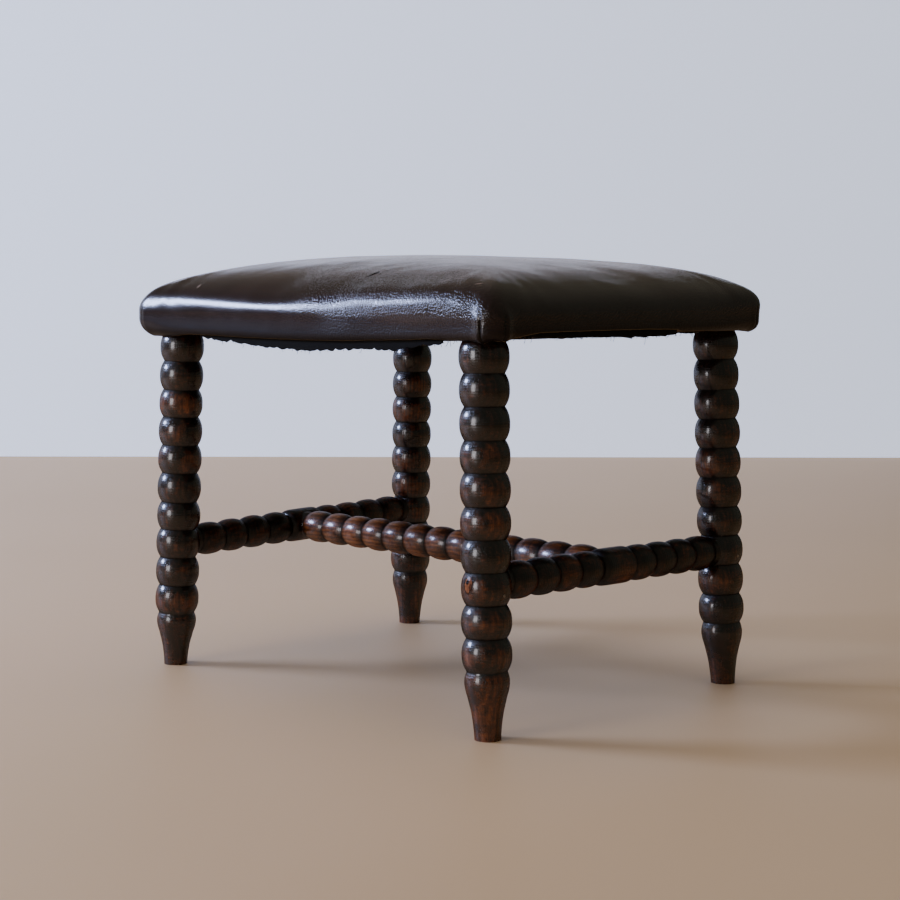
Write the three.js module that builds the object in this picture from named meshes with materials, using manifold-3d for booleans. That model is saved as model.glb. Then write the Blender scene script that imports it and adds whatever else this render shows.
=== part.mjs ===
// Upholstered footstool with turned bobbin legs, splayed a little at the floor.
// Millimetres, +Z up, X along the long side, origin on the floor under the middle of the seat.

import * as THREE from 'three';
import { mergeVertices } from 'three/addons/utils/BufferGeometryUtils.js';
import Module from 'manifold-3d';

const wasm = await Module();
wasm.setup();

// Stance: leg axes in from the seat's sides, and how far each foot stands out beyond that
const legInsetLong = 31.5;
const legInsetShort = 23.5;
const splayLong = 9.3;
const splayShort = 4.4;

// Legs: a row of beads over a tapered foot
const legBeadCount = 10;
const legBeadPitch = 23.2;
const legBeadRadius = 17.95;
const legNeckRadius = 14.8;
const footLength = 48;
const footRadius = 16.1;
const legTenonRadius = 11;

// The foot's outline from the floor up: height as a share of its length, radius as a share of its swell
const footOutlineShares = [
  [0.0, 0.63],
  [0.2, 0.645],
  [0.42, 0.7],
  [0.62, 0.81],
  [0.76, 0.94],
  [0.86, 1.0],
  [0.94, 0.97],
];

// Stretchers: the side ones run along Y into a bead counted from the seat, the cross one along X
const stretcherBeadCount = 8;
const stretcherRise = 1.5;
const stretcherBeadRadius = 13.65;
const stretcherNeckRadius = 11.25;
const sideBeadCount = 4;
const barrelLength = 36;
const barrelRadius = 14;
const barrelTaper = 2.4;
const crossBeadCount = 13;
const sideTenonRadius = 8;
const sideTenonLength = 24;
const crossTenonRadius = 7;
const crossTenonLength = 17;
const shoulderLength = 0.8;

// Pins that hold the side stretchers' tenons in the legs
const pinRadius = 1.2;
const pinLength = 27;
const pinDrop = 4;
const pinSunk = 0.8;

// Seat frame
const railWidth = 48;
const railThickness = 20;

// Seat form: the outside of the leather
const seatLength = 409;
const seatWidth = 307;
const seatCornerRadius = 12;
const seatCornerGrowth = 60;
const seatEdgeRadius = 6;
const seatSideHeight = 15.5;
const seatCrown = 40.6;
const crownPlanPower = 3.4;
const crownHeightPower = 2.05;
const leatherThickness = 1.6;
const leatherTurnIn = 12;
const pleatDepth = 0.8;

// Webbing, hessian and stuffing
const webbingWidth = 50;
const webbingThickness = 1.2;
const webbingLongCount = 2;
const webbingCrossCount = 3;
const webbingEndInset = 2;
const hessianThickness = 0.8;
const hessianInset = 12;

// Bottom cloth with a loose border that hangs below the leather
const clothThickness = 0.8;
const clothFoldInset = 4;
const clothLegRoom = 4;
const clothHangFront = 10;
const clothHangSide = 3.6;
const clothHangBack = 6;
const clothHangEnd = 1.6;

// Tacks
const tackShankRadius = 0.9;
const tackHeadRadius = 4;
const tackHeadHeight = 1.1;
const tackLength = 11;
const tackInset = 9;
const bottomTackSpacingLong = 60;
const bottomTackSpacingShort = 75;
const bottomTackCountLong = 5;
const bottomTackCountShort = 3;

// Clearances
const fitGap = 0.3;
const shankGap = 0.2;
const blindGap = 1;
const overrun = 3;

// Facets
const legSides = 14;
const stretcherSides = 12;
const tackSides = 8;
const facetsPerBead = 4;
const cornerSteps = 6;
const longSideSteps = 6;
const shortSideSteps = 5;
const edgeSteps = 2;
const crownSteps = 8;
const liningCrownSteps = 5;
const clothStepsLong = 12;
const clothStepsShort = 8;

// Levels above the floor
const seatBottom = footLength + legBeadCount * legBeadPitch;
const shoulderLevel = seatBottom + seatSideHeight;
const railBottom = seatBottom + leatherThickness + fitGap;
const railTop = railBottom + railThickness;
const lapLevel = (railBottom + railTop) / 2;
const webbingLevel = railTop + fitGap;
const webbingOverLevel = webbingLevel + webbingThickness + fitGap;
const webbingUnderLevel = webbingLevel - webbingThickness - fitGap;
const webbingTackSeat = webbingLevel + webbingThickness + fitGap;
const hessianLevel = webbingTackSeat + Math.max(webbingThickness, tackHeadHeight) + fitGap;
const stuffingLevel = hessianLevel + hessianThickness + fitGap;
const clothTop = seatBottom - fitGap;
const clothBottom = clothTop - clothThickness;
const bottomTackSeat = clothBottom - fitGap;
const beadsBelowStretcher = legBeadCount - stretcherBeadCount + 1 / 2;
const stretcherHeight = footLength + beadsBelowStretcher * legBeadPitch + stretcherRise;
const pinHeight = stretcherHeight - pinDrop;

// Where a leg's axis stands at a height above the floor
const legSpacingLong = seatLength - 2 * legInsetLong;
const legSpacingShort = seatWidth - 2 * legInsetShort;
const legAxisLong = (height) => legSpacingLong / 2 + splayLong * (1 - height / seatBottom);
const legAxisShort = (height) => legSpacingShort / 2 + splayShort * (1 - height / seatBottom);

// Stretchers between their shoulders
const sideStretcherX = legAxisLong(stretcherHeight);
const sideShoulder = legAxisShort(stretcherHeight) - legBeadRadius - fitGap;
const sideBeadPitch = (sideShoulder - barrelLength / 2) / sideBeadCount;
const crossShoulder = sideStretcherX - barrelRadius - fitGap;
const crossBeadPitch = (2 * crossShoulder) / crossBeadCount;

// The frame's outside, just within the leather, and the opening between its rails
const frameHalfLong = seatLength / 2 - leatherThickness;
const frameHalfShort = seatWidth / 2 - leatherThickness;
const openingHalfLong = frameHalfLong - railWidth;
const openingHalfShort = frameHalfShort - railWidth;
const hessianHalfLong = seatLength / 2 - hessianInset;
const hessianHalfShort = seatWidth / 2 - hessianInset;

const looks = {
  wood: { color: 0x3a2117, roughness: 0.35, metalness: 0 },
  frameWood: { color: 0x9c7a52, roughness: 0.8, metalness: 0 },
  leather: { color: 0x2b1b1b, roughness: 0.4, metalness: 0 },
  blackCloth: { color: 0x0d0d0f, roughness: 0.95, metalness: 0 },
  webbing: { color: 0xa38a63, roughness: 0.9, metalness: 0 },
  hessian: { color: 0x8d7550, roughness: 0.95, metalness: 0 },
  stuffing: { color: 0xc9bfae, roughness: 1, metalness: 0 },
  steel: { color: 0x6d6a66, roughness: 0.45, metalness: 0.9 },
};

const footstool = new THREE.Group();
const sides = [-1, 1];
const sideNameX = (side) => (side > 0 ? 'right' : 'left');
const sideNameY = (side) => (side > 0 ? 'back' : 'front');

// A closed geometry becomes a solid that can be cut and joined
function solidOf(geometry, matrix = new THREE.Matrix4()) {
  const bare = geometry.clone().applyMatrix4(matrix);
  bare.deleteAttribute('normal');
  bare.deleteAttribute('uv');
  const merged = mergeVertices(bare);
  const vertProperties = Float32Array.from(merged.attributes.position.array);
  const triVerts = Uint32Array.from(merged.index.array);
  return new wasm.Manifold(new wasm.Mesh({ numProp: 3, vertProperties, triVerts }));
}

function joined(geometries, matrix) {
  const solids = geometries.map((geometry) => solidOf(geometry, matrix));
  return solids.reduce((whole, next) => whole.add(next));
}

// A finished solid becomes a named piece in its place
function addPiece(name, solid, look, place = footstool) {
  const { vertProperties, triVerts } = solid.getMesh();
  const geometry = new THREE.BufferGeometry();
  geometry.setAttribute('position', new THREE.BufferAttribute(Float32Array.from(vertProperties), 3));
  geometry.setIndex(new THREE.BufferAttribute(Uint32Array.from(triVerts), 1));
  geometry.computeVertexNormals();
  const mesh = new THREE.Mesh(geometry, new THREE.MeshStandardMaterial(looks[look]));
  mesh.name = name;
  place.add(mesh);
}

function placeAt(x, y, z) {
  const place = new THREE.Group();
  place.position.set(x, y, z);
  footstool.add(place);
  return place;
}

// A box between two corners, given in any order
function block(from, to) {
  const middle = from.map((value, axis) => (value + to[axis]) / 2);
  const size = from.map((value, axis) => Math.abs(to[axis] - value));
  return new THREE.BoxGeometry(...size).translate(...middle);
}

// A round bar from one point to another
function bar(from, to, radius, barSides) {
  const start = new THREE.Vector3(...from);
  const run = new THREE.Vector3(...to).sub(start);
  const turn = new THREE.Quaternion();
  turn.setFromUnitVectors(new THREE.Vector3(0, 1, 0), run.clone().normalize());
  const round = new THREE.CylinderGeometry(radius, radius, run.length(), barSides);
  round.applyQuaternion(turn);
  return round.translate(...start.addScaledVector(run, 1 / 2).toArray());
}

const point = (radius, along) => new THREE.Vector2(radius, along);

// A turned piece about its own Y axis, closed at both ends
function turned(outline, turnedSides) {
  const start = point(0, outline[0].y);
  const end = point(0, outline[outline.length - 1].y);
  return new THREE.LatheGeometry([start, ...outline, end], turnedSides);
}

const mirrored = (outline) => outline.map(({ x, y }) => point(x, -y)).reverse();

// Bobbin turning: each bead's outline is an arc of a circle between two sharp necks
function beadRow(start, pitch, count, neck, crest) {
  const rise = crest - neck;
  const arcRadius = ((pitch * pitch) / 4 + rise * rise) / (2 * rise);
  const outline = [];
  for (let step = 0; step <= count * facetsPerBead; step += 1) {
    const along = ((step % facetsPerBead) / facetsPerBead - 1 / 2) * pitch;
    const drop = arcRadius - Math.sqrt(arcRadius * arcRadius - along * along);
    outline.push(point(crest - drop, start + (step * pitch) / facetsPerBead));
  }
  return outline;
}

const stretcherBeads = (start, pitch, count) =>
  beadRow(start, pitch, count, stretcherNeckRadius, stretcherBeadRadius);

// The end of a stretcher: the last bead closes on a round tenon
function tenonEnd(shoulder, radius, length) {
  return [
    point(stretcherNeckRadius, shoulder - shoulderLength),
    point(radius, shoulder),
    point(radius, shoulder + length),
  ];
}

// Each leg leans in a frame of its own: origin on its axis at the underside of the seat
function legStance(sideX, sideY) {
  const place = placeAt((sideX * legSpacingLong) / 2, (sideY * legSpacingShort) / 2, seatBottom);
  const lean = new THREE.Vector3(-sideX * splayLong, -sideY * splayShort, seatBottom);
  place.quaternion.setFromUnitVectors(new THREE.Vector3(0, 0, 1), lean.normalize());
  place.updateMatrixWorld();
  return place;
}

const corners = sides.flatMap((sideX) => sides.map((sideY) => ({ sideX, sideY })));
for (const corner of corners) {
  corner.stance = legStance(corner.sideX, corner.sideY);
}

// A round hole or tenon along a leg's axis, between two heights above its origin
function alongLeg({ stance }, low, high, radius) {
  const round = bar([0, 0, low], [0, 0, high], radius, legSides);
  return round.applyMatrix4(stance.matrixWorld);
}

const tenonHole = (corner) =>
  alongLeg(corner, -overrun, leatherThickness + railThickness + overrun, legTenonRadius + fitGap);

const neckHole = (corner) =>
  alongLeg(corner, -overrun, leatherThickness + overrun, legNeckRadius + 2 * fitGap);

// A pin lies along X through a leg and the tenon inside it, from the leg's outer face
function pinBar({ sideX, sideY }, extraRadius, extraOut, extraIn) {
  const outer = sideStretcherX + legBeadRadius - pinSunk;
  const inner = outer - pinLength;
  const y = sideY * legAxisShort(pinHeight);
  const from = [sideX * (inner - extraIn), y, pinHeight];
  const to = [sideX * (outer + extraOut), y, pinHeight];
  return bar(from, to, pinRadius + extraRadius, tackSides);
}

const pinHole = (corner) => pinBar(corner, shankGap, overrun, blindGap);

function sideMortise({ sideX, sideY }) {
  const x = sideX * sideStretcherX;
  const mouth = [x, sideY * (sideShoulder - overrun), stretcherHeight];
  const end = [x, sideY * (sideShoulder + sideTenonLength + blindGap), stretcherHeight];
  return bar(mouth, end, sideTenonRadius + fitGap, stretcherSides);
}

function crossMortise(sideX) {
  const mouth = [sideX * (crossShoulder - overrun), 0, stretcherHeight];
  const end = [sideX * (crossShoulder + crossTenonLength + blindGap), 0, stretcherHeight];
  return bar(mouth, end, crossTenonRadius + fitGap, stretcherSides);
}

// Legs: turned, cut level with the floor and the frame, with a round tenon on top
function legOutline() {
  const floor = -seatBottom;
  const foot = footOutlineShares.map(([height, swell]) =>
    point(footRadius * swell, floor + footLength * height),
  );
  const toe = point(foot[0].x, floor - overrun);
  const beads = beadRow(floor + footLength, legBeadPitch, legBeadCount, legNeckRadius, legBeadRadius);
  return [toe, ...foot, ...beads, point(legNeckRadius, leatherThickness + overrun)];
}

const levelSlab = (low, high) => block([-seatLength, -seatLength, low], [seatLength, seatLength, high]);

for (const corner of corners) {
  const toLeg = corner.stance.matrixWorld.clone().invert();
  const body = solidOf(turned(legOutline(), legSides).rotateX(Math.PI / 2));
  const shaft = body.intersect(solidOf(levelSlab(0, railBottom - fitGap), toLeg));
  const tenon = alongLeg(corner, -overrun, leatherThickness + railThickness + overrun, legTenonRadius);
  const tenonRoom = levelSlab(seatBottom - overrun, railTop);
  const peg = solidOf(tenon, toLeg).intersect(solidOf(tenonRoom, toLeg));
  const cuts = joined([sideMortise(corner), pinHole(corner)], toLeg);
  const name = `leg_${sideNameY(corner.sideY)}_${sideNameX(corner.sideX)}`;
  addPiece(name, shaft.add(peg).subtract(cuts), 'wood', corner.stance);
}

// Side stretchers: beads on both sides of a plain barrel, and a tenon at each end
function sideStretcherOutline() {
  const barrelEnd = barrelLength / 2;
  const beads = stretcherBeads(barrelEnd, sideBeadPitch, sideBeadCount);
  const half = [
    point(barrelRadius, barrelEnd - barrelTaper),
    ...beads.slice(0, -1),
    ...tenonEnd(sideShoulder, sideTenonRadius, sideTenonLength),
  ];
  return [...mirrored(half), ...half];
}

for (const sideX of sides) {
  const place = placeAt(sideX * sideStretcherX, 0, stretcherHeight);
  place.updateMatrixWorld();
  const pinHoles = corners.filter((corner) => corner.sideX === sideX).map(pinHole);
  const cuts = joined([crossMortise(sideX), ...pinHoles], place.matrixWorld.clone().invert());
  const body = solidOf(turned(sideStretcherOutline(), stretcherSides));
  addPiece(`side_stretcher_${sideNameX(sideX)}`, body.subtract(cuts), 'wood', place);
}

// Cross stretcher: one row of beads between the barrels
function crossStretcherOutline() {
  const beads = stretcherBeads(-crossShoulder, crossBeadPitch, crossBeadCount);
  const end = tenonEnd(crossShoulder, crossTenonRadius, crossTenonLength);
  return [...mirrored(end), ...beads.slice(1, -1), ...end];
}

const crossPlace = placeAt(0, 0, stretcherHeight);
crossPlace.rotation.z = -Math.PI / 2;
addPiece('cross_stretcher', solidOf(turned(crossStretcherOutline(), stretcherSides)), 'wood', crossPlace);

for (const corner of corners) {
  const name = `stretcher_pin_${sideNameY(corner.sideY)}_${sideNameX(corner.sideX)}`;
  addPiece(name, solidOf(pinBar(corner, 0, 0, 0)), 'steel');
}

// The seat's plan outline, station by station: a share of the way to each side, and the way out
function seatStations() {
  const quarters = [[1, 1], [-1, 1], [-1, -1], [1, -1]];
  const stations = [];
  quarters.forEach(([x, y], quarter) => {
    for (let step = 0; step <= cornerSteps; step += 1) {
      const angle = ((quarter + step / cornerSteps) * Math.PI) / 2;
      const crease = step === 0 || step === cornerSteps;
      stations.push({ x, y, outX: Math.cos(angle), outY: Math.sin(angle), crease });
    }
    const [nextX, nextY] = quarters[(quarter + 1) % quarters.length];
    const steps = y === nextY ? longSideSteps : shortSideSteps;
    const { outX, outY } = stations[stations.length - 1];
    for (let step = 1; step < steps; step += 1) {
      const share = step / steps;
      stations.push({ x: x + (nextX - x) * share, y: y + (nextY - y) * share, outX, outY, crease: false });
    }
  });
  return stations;
}

// Rings of the seat form from the underside to the crown, all drawn in by a wall thickness
function seatRings(wall, bottom, steps) {
  const edge = seatEdgeRadius - wall;
  const crown = seatCrown - wall;
  const rings = [{ plan: 0, inset: 0, height: bottom, side: false }];
  for (let step = 0; step <= edgeSteps; step += 1) {
    const angle = ((step / edgeSteps) * Math.PI) / 2;
    const height = bottom + edge * (1 - Math.cos(angle));
    rings.push({ plan: 1, inset: edge * (1 - Math.sin(angle)), height, side: step > 0 });
  }
  for (let step = 0; step < steps; step += 1) {
    const angle = ((step / steps) * Math.PI) / 2;
    const plan = Math.cos(angle) ** (2 / crownPlanPower);
    const height = shoulderLevel + crown * Math.sin(angle) ** (2 / crownHeightPower);
    rings.push({ plan, inset: 0, height, side: step === 0 });
  }
  rings.push({ plan: 0, inset: 0, height: shoulderLevel + crown, side: false });
  return rings;
}

// A closed form: a lathe whose rings are laid on the seat's outline instead of on circles
function seatForm(wall, bottom, steps, creaseDepth = 0) {
  const stations = seatStations();
  const rings = seatRings(wall, bottom, steps);
  const form = new THREE.LatheGeometry(rings.map((ring) => point(ring.plan, ring.height)), stations.length);
  const { position } = form.attributes;
  for (let index = 0; index < position.count; index += 1) {
    const station = stations[Math.floor(index / rings.length) % stations.length];
    const ring = rings[index % rings.length];
    const corner = seatCornerRadius + seatCornerGrowth * (1 - ring.plan);
    const crease = ring.side && station.crease ? creaseDepth : 0;
    const out = corner - wall - ring.inset - crease;
    const x = station.x * (seatLength / 2 - corner) + station.outX * out;
    const y = station.y * (seatWidth / 2 - corner) + station.outY * out;
    position.setXYZ(index, x * ring.plan, y * ring.plan, ring.height);
  }
  return form;
}

// Tacks: where each is driven, its head's seat, and whether it points up or down
const spread = (count, spacing) =>
  Array.from({ length: count }, (unused, index) => (index - (count - 1) / 2) * spacing);

// Strips of webbing share the opening with even gaps between them
const webbingSpacing = (count, openingHalf) =>
  webbingWidth + (2 * openingHalf - count * webbingWidth) / (count + 1);

const webbingLongY = spread(webbingLongCount, webbingSpacing(webbingLongCount, openingHalfShort));
const webbingCrossX = spread(webbingCrossCount, webbingSpacing(webbingCrossCount, openingHalfLong));
const bottomTacks = [];
const webbingTacks = [];
for (const side of sides) {
  const bottomY = side * (seatWidth / 2 - tackInset);
  const bottomX = side * (seatLength / 2 - tackInset);
  const webbingY = side * (frameHalfShort - railWidth / 2);
  const webbingX = side * (frameHalfLong - railWidth / 2);
  const driveUp = (x, y) => bottomTacks.push({ x, y, seat: bottomTackSeat, up: 1 });
  const driveDown = (x, y) => webbingTacks.push({ x, y, seat: webbingTackSeat, up: -1 });
  spread(bottomTackCountLong, bottomTackSpacingLong).forEach((x) => driveUp(x, bottomY));
  spread(bottomTackCountShort, bottomTackSpacingShort).forEach((y) => driveUp(bottomX, y));
  webbingLongY.forEach((y) => driveDown(webbingX, y));
  webbingCrossX.forEach((x) => driveDown(x, webbingY));
}

// A tack's outline from its point to the top of its domed head, the seat of the head at zero
function tackOutline() {
  return [
    point(tackShankRadius / 3, -tackLength),
    point(tackShankRadius, 0),
    point(tackHeadRadius, 0),
    point(tackHeadRadius / 2, tackHeadHeight),
  ];
}

function tackHole({ x, y, seat, up }) {
  const from = [x, y, seat - up * overrun];
  return bar(from, [x, y, seat + up * (tackLength + blindGap)], tackShankRadius + shankGap, tackSides);
}

for (const [kind, tacks] of [['bottom_tack', bottomTacks], ['webbing_tack', webbingTacks]]) {
  tacks.forEach(({ x, y, seat, up }, index) => {
    const place = placeAt(x, y, seat);
    place.rotation.x = (-up * Math.PI) / 2;
    addPiece(`${kind}_${index + 1}`, solidOf(turned(tackOutline(), tackSides)), 'steel', place);
  });
}

const bottomTackHoles = joined(bottomTacks.map(tackHole));
const webbingTackHoles = joined(webbingTacks.map(tackHole));

// Seat frame: four rails half-lapped at the corners, shaped by the inside of the leather
const frameForm = solidOf(seatForm(leatherThickness + fitGap, railBottom, liningCrownSteps));
const legHoles = joined(corners.map(tenonHole));

function addRail(name, blank, laps) {
  const shaped = solidOf(blank).intersect(frameForm).subtract(joined(laps));
  addPiece(name, shaped.subtract(legHoles).subtract(bottomTackHoles).subtract(webbingTackHoles), 'frameWood');
}

for (const side of sides) {
  const outer = side * (frameHalfShort + overrun);
  const inner = side * openingHalfShort;
  const blank = block([-frameHalfLong, inner, railBottom], [frameHalfLong, outer, railTop]);
  const laps = sides.map((end) => {
    const nearX = end * (openingHalfLong - fitGap);
    const from = [nearX, side * (openingHalfShort - overrun), lapLevel - fitGap / 2];
    return block(from, [end * (frameHalfLong + overrun), outer, railTop + overrun]);
  });
  addRail(`rail_${sideNameY(side)}`, blank, laps);
}

for (const side of sides) {
  const outer = side * (frameHalfLong + overrun);
  const inner = side * openingHalfLong;
  const blank = block([inner, -frameHalfShort, railBottom], [outer, frameHalfShort, railTop]);
  const laps = sides.map((end) => {
    const nearY = end * (openingHalfShort - fitGap);
    const from = [side * (openingHalfLong - overrun), nearY, lapLevel + fitGap / 2];
    return block(from, [outer, end * (frameHalfShort + overrun), railBottom - overrun]);
  });
  addRail(`rail_${sideNameX(side)}`, blank, laps);
}

// A strip of webbing: flat on the rails, and over or under each strip that it crosses
function webbingStrip(halfLength, openingHalf, crossings) {
  const reach = webbingWidth / 2 + webbingThickness;
  const stops = crossings.flatMap(({ at, level }) => [[at - reach, level], [at + reach, level]]);
  const flatStart = [[-halfLength, webbingLevel], [-openingHalf, webbingLevel]];
  const flatEnd = [[openingHalf, webbingLevel], [halfLength, webbingLevel]];
  const lower = [...flatStart, ...stops, ...flatEnd];
  const upper = lower.map(([along, level]) => [along, level + webbingThickness]).reverse();
  const shape = new THREE.Shape([...lower, ...upper].map(([along, level]) => point(along, level)));
  const strip = new THREE.ExtrudeGeometry(shape, { depth: webbingWidth, bevelEnabled: false });
  return strip.translate(0, 0, -webbingWidth / 2).rotateX(Math.PI / 2);
}

webbingLongY.forEach((y, row) => {
  const crossings = webbingCrossX.map((at, column) => {
    const over = (row + column) % 2 === 0;
    return { at, level: over ? webbingOverLevel : webbingUnderLevel };
  });
  const strip = webbingStrip(hessianHalfLong - webbingEndInset, openingHalfLong, crossings);
  strip.translate(0, y, 0);
  addPiece(`webbing_long_${sideNameY(y)}`, solidOf(strip).subtract(webbingTackHoles), 'webbing');
});

webbingCrossX.forEach((x) => {
  const strip = webbingStrip(hessianHalfShort - webbingEndInset, openingHalfShort, []);
  strip.rotateZ(Math.PI / 2).translate(x, 0, 0);
  const name = x === 0 ? 'middle' : sideNameX(x);
  addPiece(`webbing_cross_${name}`, solidOf(strip).subtract(webbingTackHoles), 'webbing');
});

// Hessian over the webbing, and the crowned stuffing that fills the leather above it
const hessianFrom = [-hessianHalfLong, -hessianHalfShort, hessianLevel];
const hessianTo = [hessianHalfLong, hessianHalfShort, hessianLevel + hessianThickness];
addPiece('hessian_sheet', solidOf(block(hessianFrom, hessianTo)), 'hessian');

const stuffingRoom = solidOf(levelSlab(railTop + fitGap, shoulderLevel + seatCrown));
const webbingRoomFrom = [-hessianHalfLong - fitGap, -hessianHalfShort - fitGap, railBottom];
const webbingRoomTo = [hessianHalfLong + fitGap, hessianHalfShort + fitGap, stuffingLevel];
const webbingRoom = solidOf(block(webbingRoomFrom, webbingRoomTo));
addPiece('stuffing_pad', frameForm.intersect(stuffingRoom).subtract(webbingRoom), 'stuffing');

// Leather cover: a shell over the stuffing and the rails, turned in under them and cut round the legs
const leatherInside = solidOf(seatForm(leatherThickness, seatBottom + leatherThickness, liningCrownSteps));
const mouthHalfLong = seatLength / 2 - leatherTurnIn;
const mouthHalfShort = seatWidth / 2 - leatherTurnIn;
const mouthFrom = [-mouthHalfLong, -mouthHalfShort, seatBottom - overrun];
const mouth = solidOf(block(mouthFrom, [mouthHalfLong, mouthHalfShort, shoulderLevel]));
const leatherOutside = solidOf(seatForm(0, seatBottom, crownSteps, pleatDepth));
const leatherHide = leatherOutside.subtract(leatherInside).subtract(mouth);
const leatherHoles = joined(corners.map(neckHole)).add(bottomTackHoles);
addPiece('leather_cover', leatherHide.subtract(leatherHoles), 'leather');

// Bottom cloth: flat under the frame, its border bent down, its corners cut away round the legs
const clothFoldLong = seatLength / 2 - clothFoldInset;
const clothFoldShort = seatWidth / 2 - clothFoldInset;
const clothNotchLong = legSpacingLong / 2 - legBeadRadius - clothLegRoom;
const clothNotchShort = legSpacingShort / 2 - legBeadRadius - clothLegRoom;

// How far the border hangs at a share of the way from the middle of a side to its end
function borderHang(deepest, share) {
  return clothHangEnd + (deepest - clothHangEnd) * Math.max(0, 1 - share * share);
}

// A column or row of the cloth: even steps up to the fold, and one more for the border beyond it
function clothStation(share, steps, fold) {
  const step = Math.round((share + 1 / 2) * steps);
  const innerShare = Math.max(0, Math.min(1, (step - 1) / (steps - 2)));
  return { flat: (2 * innerShare - 1) * fold, border: step === 0 || step === steps };
}

function bottomCloth() {
  const cloth = new THREE.BoxGeometry(1, 1, 1, clothStepsLong, clothStepsShort, 1);
  const { position } = cloth.attributes;
  for (let index = 0; index < position.count; index += 1) {
    const layer = position.getZ(index) > 0 ? clothThickness : 0;
    const along = clothStation(position.getX(index), clothStepsLong, clothFoldLong);
    const across = clothStation(position.getY(index), clothStepsShort, clothFoldShort);
    const atFoldX = Math.abs(along.flat) === clothFoldLong;
    const atFoldY = Math.abs(across.flat) === clothFoldShort;
    const x = along.flat + (atFoldX ? Math.sign(along.flat) * layer : 0);
    const y = across.flat + (atFoldY ? Math.sign(across.flat) * layer : 0);
    const deepY = across.flat < 0 ? clothHangFront : clothHangBack;
    const hangX = along.border ? borderHang(clothHangSide, across.flat / clothNotchShort) : 0;
    const hangY = across.border ? borderHang(deepY, along.flat / clothNotchLong) : 0;
    position.setXYZ(index, x, y, clothBottom + layer - Math.max(hangX, hangY));
  }
  return cloth;
}

function clothNotch({ sideX, sideY }) {
  const from = [sideX * clothNotchLong, sideY * clothNotchShort, clothBottom - clothHangFront];
  return block(from, [sideX * seatLength, sideY * seatWidth, clothTop + overrun]);
}

const clothCuts = joined(corners.map(clothNotch)).add(bottomTackHoles);
addPiece('bottom_cloth', solidOf(bottomCloth()).subtract(clothCuts), 'blackCloth');

export default footstool;
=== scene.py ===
# %% [markdown]
# A leather footstool on bobbin-turned legs, built around a fixed frame.
#
# The frame is a measured model of the same stool. Its plain solids say where every piece goes,
# so this lesson only makes the pieces richer: turned wood with real necks and beads, a leather
# cover that was pulled over a pad, and a black cloth whose loose edge hangs underneath.
# Loading the frame comes first, because later cells hide the solids that their pieces replace or give them
# their finish.

# %% Load the frame
import math
import random

import bmesh
import bpy
import numpy as np
from mathutils import Euler, Matrix, Vector, noise


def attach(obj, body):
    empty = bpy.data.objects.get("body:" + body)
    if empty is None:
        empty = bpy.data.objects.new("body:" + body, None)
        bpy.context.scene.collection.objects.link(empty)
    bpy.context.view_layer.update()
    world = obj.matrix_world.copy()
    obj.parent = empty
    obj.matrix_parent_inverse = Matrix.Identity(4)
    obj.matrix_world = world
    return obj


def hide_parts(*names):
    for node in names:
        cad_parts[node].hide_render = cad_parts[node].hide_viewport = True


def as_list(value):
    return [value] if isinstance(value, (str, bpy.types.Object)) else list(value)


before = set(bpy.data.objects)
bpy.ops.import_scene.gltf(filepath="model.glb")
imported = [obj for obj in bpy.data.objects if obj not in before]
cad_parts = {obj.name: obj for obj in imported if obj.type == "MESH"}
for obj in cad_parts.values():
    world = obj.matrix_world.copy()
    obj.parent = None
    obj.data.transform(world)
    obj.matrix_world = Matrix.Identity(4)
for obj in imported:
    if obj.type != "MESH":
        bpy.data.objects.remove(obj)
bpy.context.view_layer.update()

# %% [markdown]
# Sizes here are written in millimetres, as on a workshop drawing, and Blender works in metres.
# One function turns a finished bmesh into an object: it scales the shape, smooths it except where
# two faces meet at a sharp angle, and says which body it moves with and which solid it replaces.
# The object stays at the origin and the place is in the mesh, so a pattern never slides.

# %% From a bmesh in millimetres to a finished piece
MM = 0.001
SHARP_ANGLE = math.radians(42)
LEFT, RIGHT = -1, 1
FRONT, BACK = -1, 1
SIDE_NAMES = {LEFT: "left", RIGHT: "right"}
DEPTH_NAMES = {FRONT: "front", BACK: "back"}


def finished(bm, name, material, nodes=(), sharp=SHARP_ANGLE):
    bmesh.ops.scale(bm, vec=(MM, MM, MM), verts=bm.verts)
    mesh = bpy.data.meshes.new(name)
    bm.to_mesh(mesh)
    bm.free()
    mesh.shade_smooth()
    mesh.set_sharp_from_angle(angle=sharp)
    mesh.materials.append(material)
    piece = bpy.data.objects.new(name, mesh)
    bpy.context.scene.collection.objects.link(piece)
    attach(piece, "root")
    if nodes:
        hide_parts(*nodes)
    print(f"{name}: {len(mesh.polygons)} faces")
    return piece


# %% [markdown]
# A material is a small graph of nodes. One helper turns an ordinary screen colour into the linear
# values that light is reckoned in. Another adds any node: it makes the node's settings, fills its
# inputs, sets the stops of a colour ramp, and hands back the output that the next node reads.

# %% Colours and nodes
def linear(hex_colour):
    channels = [int(hex_colour[i : i + 2], 16) / 255 for i in (1, 3, 5)]
    return (*(c / 12.92 if c <= 0.04045 else ((c + 0.055) / 1.055) ** 2.4 for c in channels), 1.0)


def new_material(name):
    material = bpy.data.materials.new(name)
    material.use_nodes = True
    material.node_tree.nodes.clear()
    return material


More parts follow.
